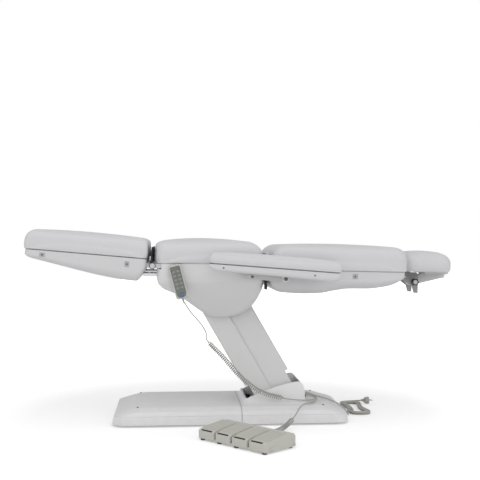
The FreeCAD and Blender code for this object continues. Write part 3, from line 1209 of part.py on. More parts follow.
def foot_box():
    half = PEDALS * PEDAL_PITCH / 2
    front, rear = -FOOT_BOX_DEPTH / 2, FOOT_BOX_DEPTH / 2
    low = FOOT_BOX_RISE
    hinge = pedal_hinge_y()
    floor_top = low + FOOT_BOX_FLOOR
    block_front = hinge + PEDAL_THICKNESS * 1.6
    pieces = [box(-half, half, front, rear, low, floor_top),
              box(-half, half, front, front + FOOT_BOX_WALL, low, FOOT_BOX_FRONT)]
    rear_outline = [(block_front, low), (rear, low), (rear, FOOT_BOX_REAR * 0.8),
                    (rear - FOOT_BOX_FLOOR, FOOT_BOX_REAR), (block_front, FOOT_BOX_REAR)]
    pieces.append(across_prism(rear_outline, -half, half))
    side_outline = [(front, low), (rear, low), (rear, FOOT_BOX_REAR * 0.8), (hinge, FOOT_BOX_REAR * 0.86),
                    (front, FOOT_BOX_FRONT)]
    rib = (PEDAL_PITCH - PEDAL_WIDTH) / 2 - EAR_GAP
    for i in range(PEDALS + 1):
        middle = -half + PEDAL_PITCH * i
        pieces.append(across_prism(side_outline, max(middle - rib, -half), min(middle + rib, half)))
    pieces.append(Part.makeCylinder(PEDAL_PIN_RADIUS, half * 2, Vector(-half, hinge, PEDAL_PIN_Z),
                                    Vector(1, 0, 0)))
    x_pad, y_pad = half - FOOT_PAD_RADIUS * 2, rear - FOOT_PAD_RADIUS * 2
    for sx in (-1, 1):
        for sy in (-1, 1):
            pieces.append(Part.makeCylinder(FOOT_PAD_RADIUS, low + REST_GAP,
                                            Vector(sx * x_pad, sy * y_pad, 0)))
    pieces.append(Part.makeCylinder(HAND_GLAND_RADIUS, HAND_GLAND_LENGTH + FOOT_BOX_WALL,
                                    Vector(0, rear - FOOT_BOX_WALL, FOOT_BOX_REAR / 2), Y_AXIS))
    return foot_placed(joined(pieces))


def pedal(index):
    middle = (index - (PEDALS - 1) / 2) * PEDAL_PITCH
    x_from, x_to = middle - PEDAL_WIDTH / 2, middle + PEDAL_WIDTH / 2
    hinge = pedal_hinge_y()
    front = -FOOT_BOX_DEPTH / 2
    back = hinge + PEDAL_THICKNESS
    drop = PEDAL_THICKNESS
    plate = across_prism([(front, PEDAL_FRONT_Z - drop), (front, PEDAL_FRONT_Z - drop / 2),
                          (front + drop / 2, PEDAL_FRONT_Z), (back - drop / 2, PEDAL_REAR_Z),
                          (back, PEDAL_REAR_Z - drop / 2), (back, PEDAL_REAR_Z - drop * 1.5)], x_from, x_to)
    boss_half = PEDAL_PIN_RADIUS * 2
    web = box(x_from, x_to, hinge - boss_half, hinge + boss_half, PEDAL_PIN_Z, PEDAL_REAR_Z - drop * 1.6)
    boss = Part.makeCylinder(boss_half, PEDAL_WIDTH, Vector(x_from, hinge, PEDAL_PIN_Z), Vector(1, 0, 0))
    hole = Part.makeCylinder(PEDAL_PIN_RADIUS + PIN_GAP, PEDAL_WIDTH + OVERRUN,
                             Vector(x_from - OVERRUN / 2, hinge, PEDAL_PIN_Z), Vector(1, 0, 0))
    return foot_placed(without(joined([plate, web, boss]), [hole]))


def foot_gland_end():
    turn = math.radians(FOOT_BOX_TURN)
    direction = Vector(-math.sin(turn), math.cos(turn), 0)
    start = Vector(FOOT_BOX_X, FOOT_BOX_Y, FOOT_BOX_REAR / 2)
    return start.add(direction * (FOOT_BOX_DEPTH / 2 + HAND_GLAND_LENGTH)), direction


# Cords

def corner_radius(before, point, after):
    run = min(point.sub(before).Length, after.sub(point).Length)
    turn = point.sub(before).getAngle(after.sub(point))
    return CORD_ARC_SHARE * run / math.tan(turn / 2)


def rounded_route(points):
    """Straight runs joined by tangent arcs, as large as the runs allow."""
    edges = []
    last = points[0]
    for before, point, after in zip(points, points[1:], points[2:]):
        back = before.sub(point).normalize()
        ahead = after.sub(point).normalize()
        run = CORD_ARC_SHARE * min(point.sub(before).Length, after.sub(point).Length)
        start, end = point.add(back * run), point.add(ahead * run)
        radius = corner_radius(before, point, after)
        bisector = back.add(ahead).normalize()
        middle = point.add(bisector * (math.hypot(radius, run) - radius))
        edges.append(Part.LineSegment(last, start).toShape())
        edges.append(Part.Arc(start, middle, end).toShape())
        last = end
    edges.append(Part.LineSegment(last, points[-1]).toShape())
    return Part.Wire(edges)


def swept_tube(name, wire, start, direction, radius):
    circle = Part.Wire([Part.makeCircle(radius, start, direction)])
    tube = wire.makePipeShell([circle], True, False)
    expected = math.pi * radius * radius * wire.Length
    print(name, "length", round(wire.Length, 1), "volume over section x length",
          round(tube.Volume / expected, 4))
    return tube


def route_tube(name, points, radius):
    """A free cord: prints its bend radii in cord diameters."""
    radii = [corner_radius(a, b, c) / (radius * 2) for a, b, c in zip(points, points[1:], points[2:])]
    print(name, "bend radii in diameters", [round(r, 1) for r in radii])
    return swept_tube(name, rounded_route(points), points[0], points[1].sub(points[0]), radius)


def arc_or_line(start, corner, end):
    """An arc that leaves start towards corner and arrives at end."""
    middle = (start.add(end)) * 0.5
    half = end.sub(start).Length / 2
    rise = corner.sub(middle)
    side = corner.sub(start).Length
    if rise.Length < side / 5000:
        return Part.LineSegment(start, end).toShape()
    through = middle.add(rise.normalize() * (half * (side - half) / math.sqrt(side * side - half * half)))
    return Part.Arc(start, through, end).toShape()


def biarc(start, start_way, end, end_way):
    """Two tangent arcs between two points with given directions."""
    gap = end.sub(start)
    ways = start_way.add(end_way)
    a = ways.dot(ways) - 4
    b = -2 * gap.dot(ways)
    c = gap.dot(gap)
    reach = (-b - math.sqrt(b * b - 4 * a * c)) / (2 * a)
    corner_one = start.add(start_way * reach)
    corner_two = end.sub(end_way * reach)
    joint = corner_one.add(corner_two) * 0.5
    return [arc_or_line(start, corner_one, joint), arc_or_line(joint, corner_two, end)]


def wound_wire(place, turns, steps_per_turn):
    """Biarcs through a formula: place(turn) gives a point, with 0 to turns as its range."""
    step = 1 / steps_per_turn
    near = step / 100
    count = round(turns * steps_per_turn)
    stops = [min(i * step, turns) for i in range(count + 1)]
    points = [place(t) for t in stops]
    ways = [place(min(t + near, turns)).sub(place(max(t - near, 0))).normalize() for t in stops]
    edges = []
    for i in range(count):
        edges += biarc(points[i], ways[i], points[i + 1], ways[i + 1])
    return points, ways, edges


def least_self_gap(place, turns, radius):
    """The least gap between parts of the winding that are over half a turn apart."""
    samples = 16
    points = [place(i / samples) for i in range(int(turns * samples) + 1)]
    least = min(points[i].sub(points[j]).Length
                for i in range(len(points))
                for j in range(i + samples // 2, min(len(points), i + samples * 8)))
    return least - radius * 2


def smooth_step(share):
    share = max(0.0, min(1.0, share))
    return share * share * (3 - 2 * share)


def curve_through(points):
    """A smooth centre line through hand-picked points: place and direction at a share of its length."""
    runs = [b.sub(a).Length for a, b in zip(points, points[1:])]
    total = sum(runs)
    ways = []
    for i, point in enumerate(points):
        before, after = points[max(i - 1, 0)], points[min(i + 1, len(points) - 1)]
        ways.append(after.sub(before).normalize())

    def place(share):
        distance = max(0.0, min(1.0, share)) * total
        index = 0
        while index < len(runs) - 1 and distance > runs[index]:
            distance -= runs[index]
            index += 1
        t = distance / runs[index]
        start, end = points[index], points[index + 1]
        pull = runs[index]
        return (start * (2 * t ** 3 - 3 * t ** 2 + 1) + ways[index] * (pull * (t ** 3 - 2 * t ** 2 + t))
                + end * (3 * t ** 2 - 2 * t ** 3) + ways[index + 1] * (pull * (t ** 3 - t ** 2)))
    return place


def curly_cord(name, points, turns):
    """A curly cord: a helix round a smooth centre line, drawn in to it at both ends."""
    centre = curve_through(points)
    near = 1 / (turns * 50)

    def place(turn):
        share = turn / turns
        way = centre(share + near).sub(centre(share - near)).normalize()
        across = Y_AXIS.sub(way * Y_AXIS.dot(way)).normalize()
        beside = way.cross(across)
        radius = CURL_RADIUS * smooth_step(min(turn, turns - turn) / 1.5)
        angle = math.tau * turn
        return centre(share).add(across * (radius * math.cos(angle))).add(beside * (radius * math.sin(angle)))

    stops, ways, edges = wound_wire(place, turns, 4)
    straight = CURL_WIRE_RADIUS * 2
    first = stops[0].sub(ways[0] * straight)
    last = stops[-1].add(ways[-1] * straight)
    edges = ([Part.LineSegment(first, stops[0]).toShape()] + edges
             + [Part.LineSegment(stops[-1], last).toShape()])
    print(name, "least self-gap", round(least_self_gap(place, turns, CURL_WIRE_RADIUS), 2))
    tube = swept_tube(name, Part.Wire(edges), first, ways[0], CURL_WIRE_RADIUS)
    return tube, (first, ways[0]), (last, ways[-1])


def hank_place(turn):
    """A drawn-in loop that winds in for half its turns and out again a layer higher."""
    turns = HANK_LOOPS + 0.25
    angle = math.tau * (turn + 0.75)
    inward = HANK_STEP * min(turn, turns - turn)
    layer = smooth_step((turn - turns / 2) * 2 + 0.5)

    def outline(a):
        waist = HANK_WIDTH * HANK_WAIST_SHARE
        belly = (HANK_WIDTH / 2 / DIAGONAL - waist) * 2
        return Vector(math.sin(a) * (waist + belly * math.cos(a) ** 2), HANK_LENGTH / 2 * math.cos(a), 0)

    nudge = math.tau / 720
    way = outline(angle + nudge).sub(outline(angle - nudge)).normalize()
    inside = Vector(way.y, -way.x, 0)
    return (Vector(HANK_X, HANK_Y, MAINS_RADIUS + REST_GAP + HANK_STEP * layer)
            .add(outline(angle)).add(inside * inward))


def mains_hank():
    turns = HANK_LOOPS + 0.25
    stops, ways, edges = wound_wire(hank_place, turns, 8)
    straight = MAINS_RADIUS * 2
    first = stops[0].sub(ways[0] * straight)
    last = stops[-1].add(ways[-1] * straight)
    tail = Vector(last.x + HANK_TAIL, last.y - HANK_TAIL / 4, PLUG_RADIUS)
    tail_end = tail.add(Vector(straight, 0, 0))
    edges = ([Part.LineSegment(first, stops[0]).toShape()] + edges
             + [Part.LineSegment(stops[-1], last).toShape()] + biarc(last, ways[-1], tail, Vector(1, 0, 0))
             + [Part.LineSegment(tail, tail_end).toShape()])
    print("mains_hank least self-gap", round(least_self_gap(hank_place, turns, MAINS_RADIUS), 2))
    tube = swept_tube("mains_hank", Part.Wire(edges), first, ways[0], MAINS_RADIUS)
    return tube, (first, ways[0]), tail_end


def mains_plug(start):
    collar = Part.makeCone(PLUG_RADIUS / 2, PLUG_RADIUS, PLUG_LENGTH / 2, start, Vector(1, 0, 0))
    body = Part.makeCylinder(PLUG_RADIUS, PLUG_LENGTH / 2, start.add(Vector(PLUG_LENGTH / 2, 0, 0)),
                             Vector(1, 0, 0))
    pins = []
    for side in (-1, 1):
        root = start.add(Vector(PLUG_LENGTH - SHEET, side * PLUG_PIN_SPACING / 2, 0))
        pins.append(Part.makeCylinder(PLUG_PIN_RADIUS, PLUG_PIN_LENGTH + SHEET, root, Vector(1, 0, 0)))
    return joined([collar, body] + pins)


def port_end(y):
    return Vector(BOOT_FRONT_X + BOOT_LENGTH + CORD_PORT_LENGTH, y, CORD_PORT_Z)


# Routes of the free cords, chosen by eye from the photograph
HAND_CORD_ROUTE = [(-197, -299, 524), (-181, -296, 498), (-159, -290, 473), (-138, -281, 449),
                   (-121, -270, 424),
                   (-110, -258, 399)]
HAND_CURL_ROUTE = [(-101, -241, 362), (-84, -231, 342), (-61, -220, 319), (-30, -207, 286), (2, -195, 247),
                   (37, -181, 205), (77, -170, 170), (104, -165, 149), (134, -162, 131), (168, -160, 118),
                   (203, -158, 109), (230, -157, 103)]
HAND_LEAD_ROUTE = [(262, -156, 97), (290, -156, 94), (318, -155, 92), (346, -151, 91), (369, -142, 92),
                   (382, -126, 94), (381, -109, 97), (366, -98, 101)]
FOOT_CURL_ROUTE = [(117, -488, 28), (135, -465, 20), (155, -437, 15), (179, -405, 14), (204, -372, 17),
                   (229, -341, 26), (252, -313, 42)]
FOOT_LEAD_ROUTE = [(282, -275, 72), (298, -250, 85), (316, -225, 89), (335, -199, 87), (354, -171, 84),
                   (373, -142, 83), (388, -111, 86), (392, -84, 92), (380, -66, 98), (362, -60, 102)]
MAINS_ROUTE = [(362, -26, 100), (384, -30, 94), (407, -39, 88), (430, -52, 83), (454, -66, 77),
               (478, -77, 68),
               (500, -83, 56), (518, -84, 40), (531, -79, 22), (540, -66, 10), (544, -46, 5), (547, -21, 4),
               (552, 8, 3.8), (559, 38, 3.8), (565, 67, 3.8)]


def route(points):
    return [Vector(*point) for point in points]


# Assembly

def export(name, shape):
    solids = shape.Solids
    if not shape.isValid():
        print("INVALID", name)
    shape.exportStep("parts/" + name + ".step")
    print(name, "solids", len(solids), "volume", round(shape.Volume), "box", shape.BoundBox)


def main():
    os.makedirs("parts", exist_ok=True)
    front, rear = base_covers()
    far_shell, near_shell = seat_shells()
    pieces = {
        "base_plate": base_plate(), "levelling_feet": levelling_feet(),
        "base_cover_front": front, "base_cover_rear": rear,
        "main_arm": main_arm(), "tie_arm": tie_arm(),
        "arm_cover_front": front_cover(), "arm_cover_rear": rear_cover(),
        "carriage": carriage(), "seat_frame": seat_frame(),
        "seat_shell_left": near_shell, "seat_shell_right": far_shell, "seat_cushion": seat_cushion(),
        "back_frame": back_frame(), "back_tray": back_tray(), "back_cushion": back_cushion(),
        "headrest_bracket": head_bracket(), "headrest_knob": head_knob(), "headrest_beam": head_beam(),
        "headrest_board": head_board(), "headrest_pillow": head_pillow(),
        "handset_shell": hand_shell(), "handset_keypad": hand_keypad(), "handset_stop_key": stop_key(),
        "foot_control_box": foot_box(),
    }
    lift_radii = (LIFT_TUBE_RADIUS, LIFT_ROD_RADIUS)
    small_radii = (SMALL_TUBE_RADIUS, SMALL_ROD_RADIUS)
    tilt_ends = (TILT_TUBE_X, TILT_TUBE_Z), (TILT_ROD_X, TILT_ROD_Z)
    drives = {
        "lift": actuator(*lift_ends(), 0, lift_radii, LIFT_PIN_RADIUS, ROD_OVERLAP),
        "tilt": actuator(*tilt_ends, 0, small_radii, EYE_PIN_RADIUS, TILT_ROD_OVERLAP),
        "back": actuator(*back_ends(), BACK_DRIVE_Y, small_radii, EYE_PIN_RADIUS, BACK_ROD_OVERLAP),
    }
    for side, word in ((-1, "left"), (1, "right")):
        pieces["leg_frame_" + word] = leg_frame(side)
        pieces["leg_tray_" + word] = leg_tray(side)
        pieces["leg_cushion_" + word] = leg_cushion(side)
        pieces["armrest_bracket_" + word] = armrest_bracket(side)
        pieces["armrest_tray_" + word] = armrest_tray(side)
        pieces["armrest_pad_" + word] = armrest_pad(side)
        drives["leg_" + word] = actuator(*leg_ends(), side * LEG_DRIVE_Y, small_radii, EYE_PIN_RADIUS,
                                         ROD_OVERLAP)
    for name, (tube, rod) in drives.items():
        pieces[name + "_actuator_tube"] = tube
        pieces[name + "_actuator_rod"] = rod
    for index in range(PEDALS):
        pieces["pedal_" + str(index + 1)] = pedal(index)

    hand_curls, (hand_start, hand_way), (hand_end, hand_end_way) = curly_cord(
        "handset_cord_curls", route(HAND_CURL_ROUTE), HAND_CURLS)
    gland, gland_way = hand_gland_end()
    lead_in = hand_start.sub(hand_way * (CORD_RADIUS * 6))
    pieces["handset_cord_upper"] = route_tube(
        "handset_cord_upper", [gland] + route(HAND_CORD_ROUTE) + [lead_in, hand_start], CORD_RADIUS)
    pieces["handset_cord_curls"] = hand_curls
    lead_out = hand_end.add(hand_end_way * (CORD_RADIUS * 6))
    hand_points = [hand_end, lead_out] + route(HAND_LEAD_ROUTE) + [port_end(HAND_PORT_Y)]
    pieces["handset_cord_lower"] = route_tube("handset_cord_lower", hand_points, CORD_RADIUS)
    foot_start, foot_way = foot_gland_end()
    straight = CURL_WIRE_RADIUS * 2
    foot_curls, _, (foot_end, foot_end_way) = curly_cord(
        "foot_cord_curls", [foot_start.add(foot_way * straight)] + route(FOOT_CURL_ROUTE), FOOT_CURLS)
    pieces["foot_cord_curls"] = foot_curls
    foot_out = foot_end.add(foot_end_way * (CORD_RADIUS * 6))
    foot_points = [foot_end, foot_out] + route(FOOT_LEAD_ROUTE) + [port_end(FOOT_PORT_Y)]
    pieces["foot_cord_lead"] = route_tube("foot_cord_lead", foot_points, CORD_RADIUS)
    hank, (hank_start, hank_way), hank_end = mains_hank()
    pieces["mains_hank"] = hank
    pieces["mains_cord"] = route_tube(
        "mains_cord", [port_end(MAINS_PORT_Y)] + route(MAINS_ROUTE)
        + [hank_start.sub(hank_way * (MAINS_RADIUS * 2)), hank_start], MAINS_RADIUS)
    pieces["mains_plug"] = mains_plug(hank_end)
    for name, shape in pieces.items():
        export(name, shape)
    print(len(pieces), "pieces")


main()
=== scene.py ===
# %% [markdown]
# A powered treatment chair for foot care, lying flat: two leg sections, a seat, a backrest and
# a headrest on one slanted lifting column, with a hand control, a four-pedal foot control and
# curly cords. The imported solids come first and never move, because every joint and every
# collision is measured from them. The looks are built round them, in metres, in the same frame.

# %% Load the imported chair
import math

import bmesh
import bpy
import numpy as np
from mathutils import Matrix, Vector
from mathutils.bvhtree import BVHTree


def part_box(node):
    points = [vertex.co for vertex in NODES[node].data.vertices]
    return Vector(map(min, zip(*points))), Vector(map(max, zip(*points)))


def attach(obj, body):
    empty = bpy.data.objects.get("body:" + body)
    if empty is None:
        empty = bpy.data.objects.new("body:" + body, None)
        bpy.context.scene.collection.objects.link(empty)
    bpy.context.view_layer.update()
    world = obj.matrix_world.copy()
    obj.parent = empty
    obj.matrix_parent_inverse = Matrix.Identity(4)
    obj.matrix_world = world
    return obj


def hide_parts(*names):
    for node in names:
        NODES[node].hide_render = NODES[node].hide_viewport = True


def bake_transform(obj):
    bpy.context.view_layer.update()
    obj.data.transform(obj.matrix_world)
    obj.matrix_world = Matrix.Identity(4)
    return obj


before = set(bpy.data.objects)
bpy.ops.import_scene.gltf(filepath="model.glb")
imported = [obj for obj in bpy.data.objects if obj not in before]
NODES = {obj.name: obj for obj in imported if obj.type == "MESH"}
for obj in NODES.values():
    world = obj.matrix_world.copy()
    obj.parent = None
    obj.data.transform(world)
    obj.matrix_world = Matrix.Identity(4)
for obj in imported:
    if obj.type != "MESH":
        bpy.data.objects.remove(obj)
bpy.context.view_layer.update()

MM = 0.001

# %% [markdown]
# The camera stands where the photographer stood: four metres off, level, a little above the
# seat, with a longish lens that keeps the far side almost as large as the near one. It could be
# found by trial, but it was solved from the known heights and lengths of the chair instead.

# %% Camera
CAMERA_PLACE = (-0.256, -4.012, 0.800)
CAMERA_LOOK = (0.0767, 0.997)
LENS = 66.0
SENSOR_WIDTH = 36.0

camera_data = bpy.data.cameras.new("camera")
camera_data.lens = LENS
camera_data.sensor_width = SENSOR_WIDTH
camera = bpy.data.objects.new("camera", camera_data)
camera.location = CAMERA_PLACE
camera.rotation_euler = (math.radians(90), 0.0, -math.atan2(*CAMERA_LOOK))
bpy.context.scene.collection.objects.link(camera)
bpy.context.scene.camera = camera
print("camera at", CAMERA_PLACE, "lens", LENS)

# %% [markdown]
# Every new piece below is a grid of points worked out with numpy. A grid can be open, like a
# sheet, or joined to itself, like a tube. These helpers turn such a grid into a mesh: the faces
# only depend on how many rows and columns there are, so they are worked out once, as an array.

# %% Helpers: grids into meshes
def linked(name, data):
    """A new object of that data, in the scene."""
    piece = bpy.data.objects.new(name, data)
    bpy.context.scene.collection.objects.link(piece)
    return piece


def mesh_piece(name, points, faces):
    """A new object at the origin from an array of points and a list of faces, facing outwards."""
    mesh = bpy.data.meshes.new(name)
    mesh.from_pydata(np.asarray(points, float).reshape(-1, 3).tolist(), [], faces)
    work = bmesh.new()
    work.from_mesh(mesh)
    bmesh.ops.recalc_face_normals(work, faces=work.faces[:])
    work.to_mesh(mesh)
    work.free()
    mesh.polygons.foreach_set("use_smooth", np.ones(len(mesh.polygons), bool))
    return linked(name, mesh)


def at_heights(rings, heights):
    """Flat rings lifted, each to its own height."""
    z = np.broadcast_to(np.asarray(heights, float).reshape(-1, 1, 1), rings.shape[:2] + (1,))
    return np.concatenate([rings, z], -1)


def points_of(piece):
    co = np.empty(len(piece.data.vertices) * 3)
    piece.data.vertices.foreach_get("co", co)
    return co.reshape(-1, 3)


def set_points(piece, points):
    piece.data.vertices.foreach_set("co", np.ascontiguousarray(points, float).ravel())
    piece.data.update()


def grid_faces(rows, columns, closed_rows=False, closed_columns=False):
    """Four corners of each cell: this row and the next, this column and the next."""
    r = np.arange(rows if closed_rows else rows - 1)
    c = np.arange(columns if closed_columns else columns - 1)
    a, b = np.meshgrid(r, c, indexing="ij")
    a_next, b_next = (a + 1) % rows, (b + 1) % columns
    corners = [a * columns + b, a * columns + b_next, a_next * columns + b_next, a_next * columns + b]
    return np.stack(corners, -1).reshape(-1, 4).tolist()


def closed_loft(name, rings):
    """A closed skin over rings of points, with a fan of faces to a middle point at both ends."""
    rows, columns, _ = rings.shape
    points = np.concatenate([rings.reshape(-1, 3), rings[:1].mean(1), rings[-1:].mean(1)])
    around = np.arange(columns)
    after = (around + 1) % columns
    last = (rows - 1) * columns
    fans = [np.stack([around, after, np.full(columns, rows * columns)], -1),
            np.stack([around + last, after + last, np.full(columns, rows * columns + 1)], -1)]
    faces = grid_faces(rows, columns, closed_columns=True) + np.concatenate(fans).tolist()
    return mesh_piece(name, points, faces)


def smooth_step(x):
    """Rises from 0 to 1 with level ends: three x squared less two x cubed."""
    x = np.clip(x, 0.0, 1.0)
    return x * x * (3 - 2 * x)


def eased(stops, values, x):
    """A smooth curve through given stops, never beyond them: cubic pieces with limited slopes."""
    stops, values, x = (np.asarray(v, float) for v in (stops, values, x))
    runs = np.diff(stops)
    slopes = np.diff(values) / runs
    ways = np.zeros(len(stops))
    inner = slopes[:-1] * slopes[1:] > 0
    w1, w2 = 2 * runs[1:] + runs[:-1], runs[1:] + 2 * runs[:-1]
    safe = np.where(inner, slopes[:-1], 1.0), np.where(inner, slopes[1:], 1.0)
    ways[1:-1] = np.where(inner, (w1 + w2) / (w1 / safe[0] + w2 / safe[1]), 0.0)
    ways[0], ways[-1] = slopes[0], slopes[-1]
    i = np.clip(np.searchsorted(stops, x) - 1, 0, len(runs) - 1)
    t = np.clip((x - stops[i]) / runs[i], 0.0, 1.0)
    return (values[i] * (1 + 2 * t) * (1 - t) ** 2 + values[i + 1] * t * t * (3 - 2 * t)
            + runs[i] * (ways[i] * t * (1 - t) ** 2 - ways[i + 1] * t * t * (1 - t)))


def rounded_outline(half_x, half_y, corner, arc_steps=8, side_steps=(24, 24)):
    """Rounded rectangles as rings: four quarter circles joined by straight runs, one ring a row."""
    sizes = (np.atleast_1d(np.asarray(v, float)) for v in (half_x, half_y, corner))
    hx, hy, c = (v.reshape(-1, 1) for v in np.broadcast_arrays(*sizes))
    signs = ((1, 1), (-1, 1), (-1, -1), (1, -1))
    parts = []
    for quarter, (sx, sy) in enumerate(signs):
        angle = np.radians(np.linspace(90 * quarter, 90 * quarter + 90, arc_steps + 1))[None]
        arc = np.stack([sx * (hx - c) + c * np.cos(angle), sy * (hy - c) + c * np.sin(angle)], -1)
        nx, ny = signs[(quarter + 1) % 4]
        turn = math.radians(90 * quarter + 90)
        goal = np.stack([nx * (hx - c) + c * math.cos(turn), ny * (hy - c) + c * math.sin(turn)], -1)
        share = np.linspace(0, 1, side_steps[quarter % 2] + 2)[1:-1][None, :, None]
        parts += [arc, arc[:, -1:] + (goal - arc[:, -1:]) * share]
    return np.concatenate(parts, axis=1)


def turned(points, pivot, degrees):
    """Points turned about the chair's crossways axis through a pivot (x, z), +X end down."""
    angle = math.radians(degrees)
    x, z = points[..., 0] - pivot[0], points[..., 2] - pivot[1]
    return np.stack([pivot[0] + x * math.cos(angle) + z * math.sin(angle), points[..., 1],
                     pivot[1] - x * math.sin(angle) + z * math.cos(angle)], -1)


def tube_rings(path, radius, sides=10, closed=False):
    """Circles along a path: each stands square to it, turned as little as possible from the last."""
    path = np.asarray(path, float)
    if closed:
        ways = np.roll(path, -1, 0) - np.roll(path, 1, 0)
    else:
        ways = np.gradient(path, axis=0)
    ways /= np.linalg.norm(ways, axis=1, keepdims=True)
    first = np.cross(ways[0], [0.0, 0.0, 1.0] if abs(ways[0][2]) < 0.9 else [1.0, 0.0, 0.0])
    across = [first / np.linalg.norm(first)]
    for way in ways[1:]:
        side = across[-1] - way * (across[-1] @ way)
        across.append(side / np.linalg.norm(side))
    across = np.array(across)
    beside = np.cross(ways, across)
    if closed:
        start, end = across[0], across[-1] - ways[0] * (across[-1] @ ways[0])
        drift = math.atan2(np.cross(end, start) @ ways[0], end @ start)
        back = np.linspace(0, drift, len(path))[:, None]
        c, s = np.cos(back), np.sin(back)
        across, beside = across * c + beside * s, beside * c - across * s
    angle = np.linspace(0, math.tau, sides, endpoint=False)[None, :, None]
    size = np.broadcast_to(np.asarray(radius, float), (len(path),))[:, None, None]
    return path[:, None] + size * (across[:, None] * np.cos(angle) + beside[:, None] * np.sin(angle))


def tube_piece(name, path, radius, sides=10, closed=False):
    """A tube with closed ends, or one that runs round to its own start."""
    rings = tube_rings(path, radius, sides, closed)
    if closed:
        return mesh_piece(name, rings, grid_faces(len(rings), sides, True, True))
    return closed_loft(name, rings)


def joined_piece(name, pieces):
    """Several pieces with one finish made one: their vertices and faces, one after another."""
    points, faces, count = [], [], 0
    for piece in pieces:
        points.append(points_of(piece))
        faces += [[i + count for i in p.vertices] for p in piece.data.polygons]
        count += len(points[-1])
        bpy.data.objects.remove(piece)
    return mesh_piece(name, np.concatenate(points), faces)


# %% [markdown]
# A cord is a length of something flexible, so its line has no corners. Each route below is a
# handful of listed points that pull a smooth NURBS spline towards them. Blender works the
# spline out as a mesh line, and the tube, or the curls of a telephone-style cord, follow it.

# %% Helpers: cords
def spline(name, points, radius=0.0):
    """A smooth NURBS line drawn towards its control points, of order 3 and ending on the last ones."""
    data = bpy.data.curves.new(name, "CURVE")
    data.dimensions = "3D"
    line = data.splines.new("NURBS")
    line.points.add(len(points) - 1)
    line.points.foreach_set("co", np.column_stack([points, np.ones(len(points))]).ravel())
    line.order_u = 3
    line.use_endpoint_u = True
    line.resolution_u = 12
    data.bevel_depth = radius
    data.bevel_resolution = 3
    data.use_fill_caps = True
    return linked(name, data)


def line_points(points, spacing):
    """Points at an even spacing along the spline of some control points."""
    piece = spline("measured_line", points)
    mesh = bpy.data.meshes.new_from_object(piece)
    co = np.empty(len(mesh.vertices) * 3)
    mesh.vertices.foreach_get("co", co)
    co = co.reshape(-1, 3)
    bpy.data.objects.remove(piece)
    bpy.data.meshes.remove(mesh)
    along = np.concatenate([[0.0], np.cumsum(np.linalg.norm(np.diff(co, axis=0), axis=1))])
    stops = np.linspace(0, along[-1], max(2, round(along[-1] / spacing) + 1))
    return np.stack([np.interp(stops, along, co[:, i]) for i in range(3)], -1)


def length_of(path):
    return float(np.linalg.norm(np.diff(path, axis=0), axis=1).sum())


def curls(points, radius, turns, steps=14, lead=1.5):
    """A helix round a smooth line: the offset turns once a curl, and grows from nothing at each end."""
    centre = line_points(points, 0.002)
    along = np.linspace(0, len(centre) - 1, round(turns * steps) + 1)
    whole = np.arange(len(centre))
    middle = np.stack([np.interp(along, whole, centre[:, i]) for i in range(3)], -1)
    ways = np.gradient(middle, axis=0)
    ways /= np.linalg.norm(ways, axis=1, keepdims=True)
    across = np.array([0.0, 1.0, 0.0]) - ways * ways[:, 1:2]
    across /= np.linalg.norm(across, axis=1, keepdims=True)
    beside = np.cross(ways, across)
    turn = np.linspace(0, turns, len(middle))
    size = (radius * smooth_step(np.minimum(turn, turns - turn) / lead))[:, None]
    angle = (math.tau * turn)[:, None]
    return middle + size * (across * np.cos(angle) + beside * np.sin(angle))


# %% [markdown]
# The hand control's cord hangs plain from the hand control, then curls down along the column,
# and ends plain in a port behind the column's foot. The chair moves at three pivots between its
# two ends, and the cord is made as three lengths.

# %% Hand control's cord
CORD_RADIUS = 0.0026
CURL_WIRE = 0.0022
CURL_RADIUS = 0.0086
HAND_UPPER = np.array([(-209.4, -301.5, 544.1), (-197, -299, 524), (-181, -296, 498), (-159, -290, 473),
                       (-138, -281, 449), (-121, -270, 424), (-110, -258, 399), (-113.1, -248.2, 376.2),
                       (-103.7, -242.6, 365.1)]) * MM
HAND_CURLY = np.array([(-103.7, -242.6, 365.1), (-101, -241, 362), (-84, -231, 342), (-61, -220, 319),
                       (-30, -207, 286), (2, -195, 247), (37, -181, 205), (77, -170, 170), (104, -165, 149),
                       (134, -162, 131), (168, -160, 118), (203, -158, 109), (230, -157, 103),
                       (234.3, -156.8, 102)]) * MM
HAND_LOWER = np.array([(234.3, -156.8, 102), (249.5, -156.3, 98.7), (262, -156, 97), (290, -156, 94),
                       (318, -155, 92), (346, -151, 91), (369, -142, 92), (382, -126, 94), (381, -109, 97),
                       (366, -98, 101), (340, -96, 102)]) * MM
HAND_CURLS = 48
ROUTE_STEP = 0.003


def cord_piece(name, path, radius, node, sides=10):
    """A tube along a route that stands for a cord's solid."""
    piece = tube_piece(name, path, radius, sides)
    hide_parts(node)
    print(name, "length", round(length_of(path), 4))
    return piece


hand_upper_path = line_points(HAND_UPPER, ROUTE_STEP)
hand_curls_path = curls(HAND_CURLY, CURL_RADIUS, HAND_CURLS)
hand_lower_path = line_points(HAND_LOWER, ROUTE_STEP)
hand_upper = cord_piece("hand_cord_upper", hand_upper_path, CORD_RADIUS, "handset_cord_upper")
hand_curly = cord_piece("hand_cord_curls", hand_curls_path, CURL_WIRE, "handset_cord_curls", 8)
hand_lower = cord_piece("hand_cord_lower", hand_lower_path, CORD_RADIUS, "handset_cord_lower")

# %% [markdown]
# The foot control's cord leaves the back of its box, curls over the floor and up the side of
# the base cover, and runs plain round the column's foot to the next port. It stays with the base.

